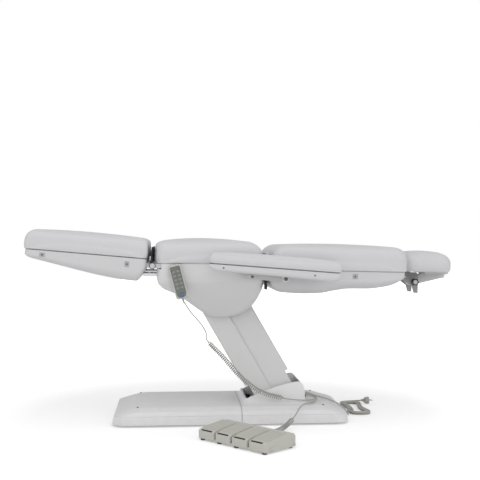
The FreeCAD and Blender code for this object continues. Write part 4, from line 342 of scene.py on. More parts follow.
# %% Foot control's cord
FOOT_CURLY = np.array([(107.9, -502.6, 29), (117, -488, 28), (135, -465, 20), (155, -437, 15),
                       (179, -405, 14), (204, -372, 17), (229, -341, 26), (252, -313, 42),
                       (254.6, -309.9, 43.8)]) * MM
FOOT_PLAIN = np.array([(254.6, -309.9, 43.8), (263.7, -298.9, 50.1), (282, -275, 72), (298, -250, 85),
                       (316, -225, 89), (335, -199, 87), (354, -171, 84), (373, -142, 83), (388, -111, 86),
                       (392, -84, 92), (380, -66, 98), (362, -60, 102), (340, -60, 102)]) * MM
FOOT_CURLS = 26

foot_curls_path = curls(FOOT_CURLY, CURL_RADIUS, FOOT_CURLS)
foot_plain_path = line_points(FOOT_PLAIN, ROUTE_STEP)
foot_curly = cord_piece("foot_cord_coil", foot_curls_path, CURL_WIRE, "foot_cord_curls", 8)
foot_plain = cord_piece("foot_cord_plain", foot_plain_path, CORD_RADIUS, "foot_cord_lead")

# %% [markdown]
# The mains lead runs over the rear end of the base to the floor and is tied up there in a
# drawn-in hank, as it came out of the box. The hank is a figure that narrows at its waist: the
# loops wind inwards for half their number and outwards again, one cord's width higher.

# %% Mains lead and hank
MAINS_RADIUS = 0.0035
HANK_LOOPS = 6.25
HANK_LENGTH = 0.292
HANK_WIDTH = 0.104
HANK_WAIST = 0.36
HANK_STEP = 0.0078
HANK_PLACE = (0.606, 0.096, 0.0038)
HANK_START = 0.75     # of a turn
TAIL_RUN = 0.014
MAINS_ROUTE = np.array([(340, -24, 102), (362, -26, 100), (384, -30, 94), (407, -39, 88), (430, -52, 83),
                        (454, -66, 77), (478, -77, 68), (500, -83, 56), (518, -84, 40), (531, -79, 22),
                        (540, -66, 10), (544, -46, 5), (547, -21, 4), (552, 8, 3.8), (559, 38, 3.8),
                        (565, 67, 3.8), (568.5, 82, 3.8)]) * MM
PLUG_START = np.array((0.664, 0.23112, 0.017))


def hank_points(turns, steps=24):
    """A closed figure in sine and cosine, narrow at its waist, moved inwards as the turns add up."""
    turn = np.linspace(0, turns, round(turns * steps) + 1)

    def figure(a):
        waist = HANK_WIDTH * HANK_WAIST
        belly = (HANK_WIDTH / 2 * math.sqrt(2) - waist) * 2
        return np.stack([np.sin(a) * (waist + belly * np.cos(a) ** 2), HANK_LENGTH / 2 * np.cos(a),
                         0 * a], -1)

    angle = math.tau * (turn + HANK_START)
    nudge = math.tau / 720
    way = figure(angle + nudge) - figure(angle - nudge)
    way /= np.linalg.norm(way, axis=1, keepdims=True)
    inside = np.stack([way[:, 1], -way[:, 0], 0 * turn], -1)
    layer = smooth_step((turn - turns / 2) * 2 + 0.5)
    rise = np.stack([0 * turn, 0 * turn, HANK_STEP * layer], -1)
    drawn_in = inside * (HANK_STEP * np.minimum(turn, turns - turn))[:, None]
    return np.array(HANK_PLACE) + figure(angle) + drawn_in + rise


hank = hank_points(HANK_LOOPS)
hank_way = hank[-1] - hank[-2]
hank_way /= np.linalg.norm(hank_way)
tail = [hank[-1] + hank_way * TAIL_RUN, PLUG_START - (0.020, 0, 0.002), PLUG_START + (0.004, 0, 0)]
whole_lead = np.concatenate([MAINS_ROUTE, hank, tail])
mains = spline("mains_lead", whole_lead, MAINS_RADIUS)
mains_path = line_points(whole_lead, 0.004)
print("mains lead length", round(length_of(mains_path), 3))
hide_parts("mains_cord", "mains_hank")

# %% [markdown]
# The chair is white all over, so its surfaces are told apart by their finish: grained vinyl on the
# pads, finely textured moulded plastic on the covers, powder coat on the steel. A few effects are
# shared by all of them, so each is made once as a node group with named sockets: a soft drift of
# tone from handling and light, a fine grain, and dust that gathers low down.

# %% Shared surface effects
def plain_material(name):
    material = bpy.data.materials.new(name)
    material.use_nodes = True
    return material, material.node_tree.nodes, material.node_tree.links


def effect_group(name, takes, gives):
    """An empty shader node group with named sockets, and its input and output nodes."""
    group = bpy.data.node_groups.new(name, "ShaderNodeTree")
    for label, kind, value in takes:
        socket = group.interface.new_socket(label, in_out="INPUT", socket_type=kind)
        socket.default_value = value
    for label, kind in gives:
        group.interface.new_socket(label, in_out="OUTPUT", socket_type=kind)
    return group, group.nodes.new("NodeGroupInput"), group.nodes.new("NodeGroupOutput")


def add_node(tree, kind, settings=(), **inputs):
    """A node with its settings and inputs by name: a value is written in, a socket is linked."""
    node = tree.nodes.new(kind)
    for label, value in settings:
        setattr(node, label, value)
    for label, value in inputs.items():
        socket = node.inputs[label.replace("_", " ")]
        if isinstance(value, bpy.types.NodeSocket):
            tree.links.new(value, socket)
        else:
            socket.default_value = value
    return node


def math_node(tree, operation, first, second):
    """One arithmetic step; a number is written in, a socket is linked."""
    node = add_node(tree, "ShaderNodeMath", [("operation", operation)])
    for socket, value in zip(node.inputs, (first, second)):
        if isinstance(value, bpy.types.NodeSocket):
            tree.links.new(value, socket)
        else:
            socket.default_value = value
    return node.outputs[0]


COLOUR, NUMBER = "NodeSocketColor", "NodeSocketFloat"
PALE = (0.8, 0.8, 0.8, 1)
DUST_TONE = (0.42, 0.40, 0.37, 1)


def make_drift():
    """Tone times one, give or take Spread: a slow noise over a quicker one."""
    group, given, made = effect_group("tone_drift", [("Tone", COLOUR, PALE), ("Scale", NUMBER, 5.0),
                                                     ("Spread", NUMBER, 0.04)],
                                      [("Tone", COLOUR), ("Drift", NUMBER)])
    place = add_node(group, "ShaderNodeTexCoord").outputs["Object"]
    slow = add_node(group, "ShaderNodeTexNoise", Detail=4.0, Roughness=0.6, Vector=place,
                    Scale=given.outputs["Scale"])
    middle = math_node(group, "SUBTRACT", slow.outputs["Fac"], 0.5)
    gain = math_node(group, "ADD", math_node(group, "MULTIPLY", middle, given.outputs["Spread"]), 1.0)
    tint = add_node(group, "ShaderNodeVectorMath", [("operation", "SCALE")], Scale=gain)
    group.links.new(given.outputs["Tone"], tint.inputs[0])
    group.links.new(tint.outputs[0], made.inputs["Tone"])
    group.links.new(slow.outputs["Fac"], made.inputs["Drift"])
    return group


def make_grain():
    """Small rounded cells, as of leather grain or a spark-textured mould, with finer noise in them."""
    group, given, made = effect_group("fine_grain", [("Scale", NUMBER, 700.0), ("Cells", NUMBER, 0.6)],
                                      [("Height", NUMBER)])
    place, scale = add_node(group, "ShaderNodeTexCoord").outputs["Object"], given.outputs["Scale"]
    cells = add_node(group, "ShaderNodeTexVoronoi", [("feature", "SMOOTH_F1")], Smoothness=0.7,
                     Vector=place, Scale=scale)
    noise = add_node(group, "ShaderNodeTexNoise", Detail=3.0, Vector=place, Scale=scale)
    mixed = add_node(group, "ShaderNodeMix", Factor=given.outputs["Cells"], A=noise.outputs["Fac"],
                     B=cells.outputs["Distance"])
    group.links.new(mixed.outputs["Result"], made.inputs["Height"])
    return group


def make_dust():
    """A share of dust that is most at the floor and none from Top up, broken up by noise."""
    group, given, made = effect_group("low_dust", [("Tone", COLOUR, PALE), ("Top", NUMBER, 0.1),
                                                   ("Amount", NUMBER, 0.3)],
                                      [("Tone", COLOUR), ("Dust", NUMBER)])
    place = add_node(group, "ShaderNodeTexCoord").outputs["Object"]
    axes = add_node(group, "ShaderNodeSeparateXYZ")
    group.links.new(place, axes.inputs[0])
    low = add_node(group, "ShaderNodeMapRange", Value=axes.outputs["Z"], From_Min=0.0,
                   From_Max=given.outputs["Top"], To_Min=1.0, To_Max=0.0)
    noise = add_node(group, "ShaderNodeTexNoise", Scale=30.0, Detail=5.0, Vector=place)
    share = math_node(group, "MULTIPLY", low.outputs["Result"], noise.outputs["Fac"])
    share = math_node(group, "MULTIPLY", share, given.outputs["Amount"])
    mixed = add_node(group, "ShaderNodeMix", [("data_type", "RGBA")], Factor=share,
                     A=given.outputs["Tone"], B=DUST_TONE)
    group.links.new(mixed.outputs["Result"], made.inputs["Tone"])
    group.links.new(share, made.inputs["Dust"])
    return group


DRIFT, GRAIN, DUST = make_drift(), make_grain(), make_dust()
DUST_TOP = 0.12
GLOSS_DRIFT = 0.12
BUMP_STRENGTH = 0.5


def finish(name, tone, roughness, grain, drift, dust=0.0, metallic=0.0, coat=0.0):
    """A material from the shared effects: grain is (scale, share of cells, depth in mm), and drift
    is (scale, spread of the tone)."""
    material, nodes, links = plain_material(name)
    shader = nodes["Principled BSDF"]
    tree = material.node_tree
    toned = add_node(tree, "ShaderNodeGroup", [("node_tree", DRIFT)], Tone=(*tone, 1), Scale=drift[0],
                     Spread=drift[1] * 2)
    shown = toned.outputs["Tone"]
    if dust:
        shown = add_node(tree, "ShaderNodeGroup", [("node_tree", DUST)], Tone=shown, Top=DUST_TOP,
                         Amount=dust).outputs["Tone"]
    gloss = math_node(tree, "MULTIPLY", toned.outputs["Drift"], GLOSS_DRIFT)
    texture = add_node(tree, "ShaderNodeGroup", [("node_tree", GRAIN)], Scale=grain[0], Cells=grain[1])
    bump = add_node(tree, "ShaderNodeBump", Strength=BUMP_STRENGTH, Distance=grain[2] * MM,
                    Height=texture.outputs["Height"])
    links.new(shown, shader.inputs["Base Color"])
    links.new(math_node(tree, "ADD", gloss, roughness - GLOSS_DRIFT / 2), shader.inputs["Roughness"])
    links.new(bump.outputs["Normal"], shader.inputs["Normal"])
    shader.inputs["Metallic"].default_value = metallic
    shader.inputs["Coat Weight"].default_value = coat
    return material


VINYL, SPARKED, MOULDED = (520.0, 0.75, 0.10), (1500.0, 0.4, 0.05), (1300.0, 0.4, 0.05)
SMOOTH_FILM, COATED, DRAWN = (1600.0, 0.2, 0.03), (1300.0, 0.2, 0.04), (1200.0, 0.2, 0.03)
FINISHES = {
    "upholstery": finish("grained_vinyl", (0.655, 0.648, 0.665), 0.46, VINYL, (4.0, 0.03)),
    "white_shell": finish("textured_white", (0.74, 0.735, 0.74), 0.50, SPARKED, (5.0, 0.03)),
    # The trays' white is the shell's white made darker, because their faces catch more light: painted shade.
    "tray_white_painted_shade": finish("textured_white_trays_painted_shade", (0.655, 0.652, 0.66), 0.50, SPARKED, (5.0, 0.03)),
    # The base covers' white is lighter than the shell's to make up for the shade under the chair: painted
    # light, with dust low down.
    "base_shell": finish("textured_white_painted_light_dusty", (0.85, 0.845, 0.855), 0.50, SPARKED, (5.0, 0.04), 0.35),
    "frame_steel": finish("powder_coat", (0.60, 0.60, 0.60), 0.42, (1100.0, 0.2, 0.06), (9.0, 0.05)),
    "bright_steel": finish("bright_steel", (0.62, 0.62, 0.64), 0.24, (1800.0, 0.0, 0.02), (20.0, 0.10),
                           metallic=1.0),
    "feet_rubber": finish("foot_rubber", (0.012, 0.012, 0.013), 0.72, (700.0, 0.5, 0.08), (30.0, 0.2), 0.5),
    "beige_plastic": finish("grey_beige_plastic", (0.56, 0.55, 0.50), 0.44, MOULDED, (8.0, 0.04)),
    "pedal_plastic": finish("pedal_plastic", (0.53, 0.525, 0.47), 0.50,
                            (1300.0, 0.4, 0.06), (8.0, 0.05), 0.5),
    "keypad": finish("keypad_film", (0.16, 0.175, 0.158), 0.40, SMOOTH_FILM, (60.0, 0.08)),
    "key_face": finish("key_face", (0.26, 0.28, 0.26), 0.42, SMOOTH_FILM, (90.0, 0.08)),
    "blue_key": finish("blue_key", (0.08, 0.14, 0.27), 0.30, (1500.0, 0.1, 0.02), (60.0, 0.08), coat=0.3),
    "black_plastic": finish("black_plastic", (0.016, 0.016, 0.018), 0.42, MOULDED, (20.0, 0.15)),
    "bracket_grey": finish("bracket_steel", (0.27, 0.27, 0.265), 0.45, COATED, (20.0, 0.12), metallic=0.3),
    "dark_metal": finish("dark_metal", (0.10, 0.10, 0.105), 0.38, COATED, (20.0, 0.12), metallic=0.6),
    # A grey that darkens the screw pockets: painted shade in the hollows.
    "pocket_painted_shade": finish("pocket_painted_shade", (0.42, 0.42, 0.425), 0.55, MOULDED, (20.0, 0.1)),
    "cord": finish("cord_grey", (0.40, 0.395, 0.36), 0.42, DRAWN, (25.0, 0.08)),
    "mains_cord": finish("mains_grey", (0.46, 0.455, 0.42), 0.45, DRAWN, (25.0, 0.08), 0.3),
    "actuator_tube": finish("drawn_tube", (0.27, 0.27, 0.28), 0.38, (900.0, 0.1, 0.03), (12.0, 0.08),
                            metallic=0.8),
}


def painted(piece, finish_name):
    """One finish for a new piece."""
    piece.data.materials.clear()
    piece.data.materials.append(FINISHES[finish_name])
    return piece


def dressed(piece, finish_name, body, node=None):
    """A painted piece that rides on its body and, where a node is named, stands for that solid."""
    painted(piece, finish_name)
    if node:
        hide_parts(node)
    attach(piece, body)
    return piece


for node in NODES.values():
    for held in node.material_slots:
        key = held.material.name.split(".")[0]
        held.material = FINISHES.get(key, FINISHES["frame_steel"])
for piece in (hand_upper, hand_curly, hand_lower, foot_curly, foot_plain):
    painted(piece, "cord")
painted(mains, "mains_cord")
print("finishes", len(FINISHES))

# %% [markdown]
# Each pad is foam on a board inside a sewn vinyl cover: flat below, square at its seam, rolled over
# at its edges and crowned on top. It could be sculpted, but a pad is regular enough for a formula
# to set its outline, and a short cloth simulation then blows the cover up against its seam, so
# that it swells and pulls as a stuffed cover does. The form starts a few millimetres small.

# %% Helpers: pads
ROLL_START = 0.47     # share of the height where the edge starts to roll over
SIDE_PULL = 0.003
SMALLER = 0.004
VOXEL = 0.006
AIR_PRESSURE = 4.0
AIR_STEPS = 20
BACK_PIVOT, BACK_TILT = (0.151, 0.742), 1.4     # (x, z) in metres, and degrees from level
LEG_PIVOT, LEG_TILT = (-0.340, 0.6905), 5.0
ARM_PIVOT, ARM_TILT = (0.217, 0.637), 4.45


def settle(piece):
    """The piece's mesh becomes what its modifiers made of it, and the modifiers go."""
    bpy.context.view_layer.update()
    graph = bpy.context.evaluated_depsgraph_get()
    made = bpy.data.meshes.new_from_object(piece.evaluated_get(graph))
    old = piece.data
    piece.modifiers.clear()
    piece.data = made
    bpy.data.meshes.remove(old)
    return piece


def pad_form(name, spans, seam, height, crown, side_roll, end_rolls, corner):
    """Level rings: along the underside to the seam, up the side, over an elliptical roll, and in to
    the crown, which rises by one less the square of what is left of the way to the middle."""
    (x_from, x_to), (y_from, y_to) = spans
    under = np.array([0.96, 0.82, 0.62, 0.40, 0.20, 0.06])
    side = np.concatenate([np.linspace(0, 0.28, 8), np.linspace(0.32, 1, 26)])
    over = np.array([0.03, 0.08, 0.15, 0.24, 0.35, 0.48, 0.62, 0.78, 0.93])
    none_under, none_over = np.zeros(len(under)), np.zeros(len(over))
    rise = np.concatenate([none_under, side, none_over + 1])
    bend = np.clip((side - ROLL_START) / (1 - ROLL_START), 0, 1)
    rolled = np.concatenate([none_under, 1 - np.sqrt(1 - bend ** 2), none_over + 1])
    drawn = np.concatenate([none_under + 1, np.clip(1 - side / 0.28, 0, 1) ** 1.6, none_over])
    way = np.concatenate([under, 0 * side, over])
    draw = 0.007 * drawn + SMALLER
    x_low, x_high = x_from + draw + end_rolls[0] * rolled, x_to - draw - end_rolls[1] * rolled
    y_low, y_high = y_from + draw + side_roll * rolled, y_to - draw - side_roll * rolled
    x_half, y_half = (x_high - x_low) / 2 * (1 - way), (y_high - y_low) / 2 * (1 - way)
    corner = np.minimum(corner, np.minimum(x_half, y_half) * 0.85)
    steps = [max(4, round((b - a) / 0.012)) for a, b in spans]
    rings = rounded_outline(x_half, y_half, corner, 8, steps)
    across, along = rings[..., 1] / y_half[:, None], rings[..., 0] / x_half[:, None]
    pull = (SIDE_PULL * np.clip(rise * 4, 0, 1) * (1 - way))[:, None]
    rings[..., 1] *= 1 - pull * (1 - along ** 2) / y_half[:, None]
    rings[..., 0] *= 1 - pull * (1 - across ** 2) / x_half[:, None]
    rings[..., 0] += ((x_low + x_high) / 2)[:, None]
    rings[..., 1] += ((y_low + y_high) / 2)[:, None]
    z = seam + rise * (height - SMALLER / 2) + crown * (rise >= 1) * (1 - (1 - way) ** 2)
    return closed_loft(name, at_heights(rings, z))


def puffed(piece, seam, cap):
    """The cover as cloth with air in it, held along its underside; no point moves more than cap."""
    even = piece.modifiers.new("even", "REMESH")
    even.mode = "VOXEL"
    even.voxel_size = VOXEL
    settle(piece)
    rest = points_of(piece)
    held = piece.vertex_groups.new(name="held")
    held.add([int(i) for i in np.flatnonzero(rest[:, 2] < seam + 0.003)], 1.0, "REPLACE")
    cloth = piece.modifiers.new("stuffing", "CLOTH")
    cloth.settings.quality = 4
    cloth.settings.use_pressure = True
    cloth.settings.uniform_pressure_force = AIR_PRESSURE
    cloth.settings.vertex_group_mass = "held"
    cloth.settings.effector_weights.gravity = 0.0
    cloth.point_cache.frame_start, cloth.point_cache.frame_end = 1, AIR_STEPS
    for step in range(1, AIR_STEPS + 1):
        bpy.context.scene.frame_set(step)
    settle(piece)
    moved = points_of(piece) - rest
    far = np.linalg.norm(moved, axis=1, keepdims=True)
    set_points(piece, rest + moved * np.minimum(1, cap / np.maximum(far, 1e-9)))
    bpy.context.scene.frame_set(1)
    finer = piece.modifiers.new("finer", "SUBSURF")
    finer.levels = finer.render_levels = 1
    settle(piece)
    print(piece.name, "swelled by up to", round(float(far.max()) / MM, 1), "mm")
    return piece


def seam_tube(name, piece, guides, radius, sink=0.3, closed=False):
    """A sewn line: guide points are drawn to the nearest points of the pad, then made a thin tube."""
    points = points_of(piece)
    tree = BVHTree.FromPolygons(points.tolist(), [list(p.vertices) for p in piece.data.polygons])
    found = [tree.find_nearest(Vector(guide)) for guide in guides]
    path = np.array([hit[0] - hit[1] * (radius * sink) for hit in found])
    for _ in range(3):
        inner = (np.roll(path, 1, 0) + path * 2 + np.roll(path, -1, 0)) / 4
        path = inner if closed else np.concatenate([path[:1], inner[1:-1], path[-1:]])
    return tube_piece(name, path, radius, 8, closed)


def corner_guides(d, sx, sy):
    """Points up one corner of a pad, outside its skin, and in over its roll."""
    (x_from, x_to), (y_from, y_to) = d["spans"]
    x_edge, y_edge = (x_to if sx > 0 else x_from), (y_to if sy > 0 else y_from)
    cut = d["corner"] * (1 - math.sqrt(0.5))
    x_roll = d["ends"][1] if sx > 0 else d["ends"][0]
    guides = []
    for up in np.linspace(0.03, 1.0, 26):
        bend = max(0.0, (up - ROLL_START) / (1 - ROLL_START))
        roll = 1 - math.sqrt(1 - bend * bend)
        x, y = x_edge - sx * (cut + x_roll * roll), y_edge - sy * (cut + d["roll"] * roll)
        guides.append((x, y, d["seam"] + d["height"] * up))
    return guides


def ring_guides(spans, z, corner, inset, steps=0.008):
    """Points round a pad's outline at one height."""
    (x_from, x_to), (y_from, y_to) = spans
    counts = [max(4, round((b - a) / steps)) for a, b in spans]
    ring = rounded_outline((x_to - x_from) / 2 - inset, (y_to - y_from) / 2 - inset, corner, 8, counts)[0]
    ring = ring + ((x_from + x_to) / 2, (y_from + y_to) / 2)
    return [(x, y, z) for x, y in ring]


PADS = {
    "seat_pad": dict(node="seat_cushion", body="seat", spans=((-0.339, 0.139), (-0.300, 0.300)), seam=0.700,
                     height=0.093, crown=0.013, roll=0.034, ends=(0.009, 0.088), corner=0.042,
                     pivot=(0.0, 0.0), tilt=0.0, cap=0.005, fill=0.85),
    "back_pad": dict(node="back_cushion", body="back", spans=((0.162, 0.770), (-0.300, 0.300)), seam=0.674,
                     height=0.104, crown=0.009, roll=0.034, ends=(0.058, 0.034), corner=0.042,
                     pivot=BACK_PIVOT, tilt=BACK_TILT, cap=0.005, fill=0.85),
    "pillow": dict(node="headrest_pillow", body="headrest", spans=((0.783, 1.005), (-0.160, 0.160)),
                   seam=0.674, height=0.084, crown=0.008, roll=0.036, ends=(0.018, 0.036), corner=0.042,
                   pivot=BACK_PIVOT, tilt=BACK_TILT, cap=0.005, fill=0.8),
    "leg_pad": dict(node="leg_cushion_{}", body="leg_{}", spans=((-0.888, -0.357), (0.004, 0.300)),
                    seam=0.7165, height=0.084, crown=0.008, roll=0.0272, ends=(0.034, 0.009), corner=0.021,
                    pivot=LEG_PIVOT, tilt=LEG_TILT, cap=0.0045, fill=0.85),
    "arm_pad": dict(node="armrest_pad_{}", body="armrest_{}", spans=((-0.117, 0.448), (0.330, 0.430)),
                    seam=0.678, height=0.051, crown=0.004, roll=0.024, ends=(0.024, 0.024), corner=0.021,
                    pivot=ARM_PIVOT, tilt=ARM_TILT, cap=0.004, fill=0.9),
}


def mirrored_copy(piece, name):
    """The same piece on the near side of the chair, with its faces turned back outwards."""
    faces = [list(p.vertices) for p in piece.data.polygons]
    return mesh_piece(name, points_of(piece) * (1, -1, 1), faces)


def paired(piece, name, both):
    """The piece by itself, or as the right one of a pair whose left one is its mirror image."""
    if not both:
        return [("", piece)]
    piece.name = name + "_right"
    return [("right", piece), ("left", mirrored_copy(piece, name + "_left"))]


def make_pad(name, d):
    """A pad with its corner seams and the welt round its underside, placed on its body."""
    spans, seam, height = d["spans"], d["seam"], d["height"]
    pad = pad_form(name, spans, seam, height, d["crown"], d["roll"], d["ends"], d["corner"])
    puffed(pad, seam, d["cap"])
    welt = ring_guides(spans, seam + 0.004, d["corner"], 0.004)
    lines = [seam_tube("welt", pad, welt, 0.0022, 0.1, True)]
    lines += [seam_tube("corner", pad, corner_guides(d, sx, sy), 0.0013) for sx in (-1, 1) for sy in (-1, 1)]
    if name == "arm_pad":
        rim = ring_guides(spans, seam + height * 0.86, 0.012, 0.009)
        lines.append(seam_tube("rim", pad, rim, 0.0014, 0.1, True))
    seams = joined_piece(name + "_seams", lines)
    for piece in (pad, seams):
        set_points(piece, turned(points_of(piece), d["pivot"], d["tilt"]))
    return pad, seams


for name, d in PADS.items():
    pad, seams = make_pad(name, d)
    both = "{}" in d["node"]
    for word, cushion in paired(pad, name, both):
        node = d["node"].format(word)
        dressed(cushion, "upholstery", d["body"].format(word), node=node)
        own = points_of(cushion)
        low, high = (np.array(v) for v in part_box(node))
        print(cushion.name, "past its solid by", np.round((low - own.min(0)) / MM, 1),
              np.round((own.max(0) - high) / MM, 1))
    for word, lines in paired(seams, name + "_seams", both):
        dressed(lines, "upholstery", d["body"].format(word))

# %% [markdown]
# The seat's moulded shell hangs from the seat frame like a bowl: straight at the top, then drawn in
# from the front far more than from the back, down to a small flat. It is two halves that meet on
# the middle line. The same few levels that size the solid are joined here by a smooth curve, each
# level a rounded rectangle. The wall and the openings for the arms come after, as they do in
# a mould: Solidify gives the wall, and plain boxes are cut out of it.

# %% Helpers: shells
WALL = 0.004


def box_piece(name, low, high):
    x, y, z = zip(low, high)
    points = [(x[i], y[j], z[k]) for k in (0, 1) for j in (0, 1) for i in (0, 1)]
    faces = [[0, 2, 3, 1], [4, 5, 7, 6], [0, 1, 5, 4], [2, 6, 7, 3], [0, 4, 6, 2], [1, 3, 7, 5]]
    return mesh_piece(name, points, faces)


def cut_away(piece, cutters):
    """Takes closed cutters out of a closed piece in one go; none of them touches another."""
    for cutter in cutters:
        cut = piece.modifiers.new("cut", "BOOLEAN")
        cut.operation, cut.solver, cut.object = "DIFFERENCE", "EXACT", cutter
    settle(piece)
    for cutter in cutters:
        bpy.data.objects.remove(cutter)
    return piece


def cut_boxes(piece, boxes):
    """Takes boxes out of a piece, each given by two opposite corners."""
    return cut_away(piece, [box_piece("cutter", np.minimum(*box), np.maximum(*box)) for box in boxes])


def walled(piece, wall=WALL):
    """A wall inwards from the skin."""
    solid = piece.modifiers.new("wall", "SOLIDIFY")
    solid.thickness = wall
    solid.offset = -1.0
    solid.use_even_offset = True
    settle(piece)
    return piece


def sharp_past(piece, degrees=32):
    """Smooth shading, broken where two faces meet at more than the angle."""
    piece.data.polygons.foreach_set("use_smooth", np.ones(len(piece.data.polygons), bool))
    piece.data.set_sharp_from_angle(angle=math.radians(degrees))
    return piece


def bisected(piece, place, way):
    """Keeps only what lies on the far side of a plane, seen along its way."""
    work = bmesh.new()
    work.from_mesh(piece.data)
    bmesh.ops.bisect_plane(work, geom=work.verts[:] + work.edges[:] + work.faces[:], plane_co=place,
                           plane_no=way, clear_inner=True)
    work.to_mesh(piece.data)
    work.free()
    return piece


def open_bowl(name, rings, inner_ways=(0.12, 0.3, 0.5, 0.7, 0.88)):
    """A skin over rings from its open rim to its last ring, which is then filled in to its middle.
    The face order decides which side is out, because an open skin has no inside of its own."""
    last = rings[-1:]
    middle = last.mean(1, keepdims=True)
    fill = [last + (middle - last) * way for way in inner_ways]
    rings = np.concatenate([rings] + fill)
    rows, columns, _ = rings.shape
    points = np.concatenate([rings.reshape(-1, 3), middle.reshape(1, 3)])
    around = np.arange(columns)
    start = (rows - 1) * columns
    fan = np.stack([around, (around + 1) % columns, np.full(columns, columns)], -1) + start
    faces = grid_faces(rows, columns, closed_columns=True) + fan.tolist()
    mesh = bpy.data.meshes.new(name)
    mesh.from_pydata(points.tolist(), [], faces)
    piece = linked(name, mesh)
    out = np.array(mesh.polygons[0].normal) @ (points[0] - points[:columns].mean(0))
    if out < 0:
        mesh.flip_normals()
    return piece


# %% Seat shell
SHELL_LEVELS = np.array([(0.0, 0.0, 0.0, 1.0), (0.15, 0.0, 0.0, 1.0), (0.32, 0.004, 0.004, 0.985),
                         (0.44, 0.045, 0.010, 0.935), (0.58, 0.19, 0.035, 0.855), (0.80, 0.345, 0.10, 0.715),
                         (0.94, 0.444, 0.19, 0.62), (1.0, 0.50, 0.27, 0.575)])
SHELL_FRONT, SHELL_LENGTH, SHELL_HALF, SHELL_DEPTH, SHELL_TOP = -0.322, 0.459, 0.285, 0.235, 0.6997
SHELL_CORNER = 0.036
SHELL_PARTING = 0.00015     # half the joint line between the two halves
# Openings of a half: along the chair, out from the middle line, and up.
SHELL_CUTS = [((-0.225, 0.459), (-0.127, 0.127), (0.40, 0.650)),       # the column's head
              ((-0.35, -0.286), (0.028, 0.040), (0.677, 0.730)),        # a leg hinge's inner arm
              ((-0.35, -0.286), (0.269, 0.281), (0.677, 0.730)),        # a leg hinge's outer arm
              ((-0.35, -0.286), (0.1685, 0.1875), (0.6075, 0.671)),     # a leg's actuator
              ((0.101, 0.20), (0.260, 0.270), (0.674, 0.71)),           # the backrest's hinge arm
              ((0.0217, 0.0583), (0.158, 0.315), (0.6677, 0.6903))]     # an armrest's bracket
BACK_ROD_CUT = ((0.101, 0.20), (0.2062, 0.2258), (0.575, 0.6855))      # in the far half alone


def shell_half(side):
    """One half of the bowl: side is 1 away from the hand control and -1 on its side."""
    depth = np.concatenate([[0.0, 0.06, 0.12], np.linspace(0.16, 1.0, 44)])
    front, rear, width = (eased(SHELL_LEVELS[:, 0], SHELL_LEVELS[:, k], depth) for k in (1, 2, 3))
    x_low, x_high = SHELL_FRONT + SHELL_LENGTH * front, SHELL_FRONT + SHELL_LENGTH * (1 - rear)
    rings = rounded_outline((x_high - x_low) / 2, SHELL_HALF * width, SHELL_CORNER, 8, (34, 40))
    rings[..., 0] += ((x_low + x_high) / 2)[:, None]
    name = "seat_shell_" + ("far" if side > 0 else "near")
    half = open_bowl(name, at_heights(rings, SHELL_TOP - SHELL_DEPTH * depth))
    walled(bisected(half, (0, side * SHELL_PARTING, 0), (0, side, 0)))
    cuts = SHELL_CUTS + ([BACK_ROD_CUT] if side > 0 else [])
    cut_boxes(half, [[(x[i], side * y[i], z[i]) for i in (0, 1)] for x, y, z in cuts])
    return sharp_past(half)


for side, word in ((-1, "left"), (1, "right")):
    half = dressed(shell_half(side), "white_shell", "seat", node="seat_shell_" + word)
    print(half.name, "faces", len(half.data.polygons))

# %% [markdown]
# Under each pad of the legs, the back and the arms is a moulded tray. From the side its depth
# follows one line, given by a few stops. Its side walls stand upright for the upper half, with a
# thin joint line, and then curl in under it. A tray is again rings, whose height at every point is
# the depth at that place along the chair times a share that grows from the rim down.

# %% Trays
def tray_piece(name, x_rim, y_span, top, depth, stops, lean, corner, edge, upright, pivot, tilt):
    """Rings go straight down by the upright share, then draw in by a quarter ellipse of that edge."""
    quarter = np.linspace(0, math.pi / 2, 16)[1:]
    down = np.concatenate([np.linspace(0, upright, 8), upright + (1 - upright) * np.sin(quarter)])
    inset = np.concatenate([np.zeros(8), edge * (1 - np.cos(quarter))])
    hx, hy = (x_rim[1] - x_rim[0]) / 2, (y_span[1] - y_span[0]) / 2
    shrink = np.minimum(inset, min(hx, hy) * 0.9)
    steps = [max(6, round(v * 2 / 0.012)) for v in (hx, hy)]
    ways = np.linspace(0, 0.97, 12)[1:]
    hx_all, hy_all = (np.concatenate([h - shrink, (h - shrink[-1]) * (1 - ways)]) for h in (hx, hy))
    down = np.concatenate([down, np.ones(len(ways))])
    rings = rounded_outline(hx_all, hy_all, np.minimum(corner, np.minimum(hx_all, hy_all) * 0.8), 6, steps)
    rings[..., 0] += sum(x_rim) / 2
    rings[..., 1] += sum(y_span) / 2
    along = (rings[..., 0] - x_rim[0]) / (x_rim[1] - x_rim[0])
    z = top - depth * eased(*zip(*stops), along) * down[:, None]
    near = np.clip(1 - along * 8, 0, 1)
    rings[..., 0] += lean * (1 - np.clip(down / 0.8, 0, 1))[:, None] * near
    tray = open_bowl(name, np.concatenate([rings, z[..., None]], -1), (0.5,))
    set_points(tray, turned(points_of(tray), pivot, tilt))
    return tray


def tilted_boxes(piece, boxes, pivot, tilt):
    """Cuts that are given for the level tray: the piece is levelled, cut and tilted back."""
    set_points(piece, turned(points_of(piece), pivot, -tilt))
    cut_boxes(piece, boxes)
    set_points(piece, turned(points_of(piece), pivot, tilt))
    return sharp_past(piece)


# Each line of stops goes from the front end to the rear one: share of the length, share of the depth.
BACK_STOPS = ((0.0, 0.82), (0.10, 0.96), (0.26, 1.0), (0.39, 0.965), (0.50, 0.84), (0.60, 0.755),
              (0.75, 0.735), (0.85, 0.655), (0.93, 0.54), (1.0, 0.36))
LEG_STOPS = ((0.0, 0.34), (0.928, 1.0), (0.978, 0.69), (1.0, 0.50))
ARM_STOPS = ((0.0, 0.35), (0.045, 0.72), (0.12, 0.78), (0.52, 0.86), (0.94, 1.0), (0.985, 0.62), (1.0, 0.35))
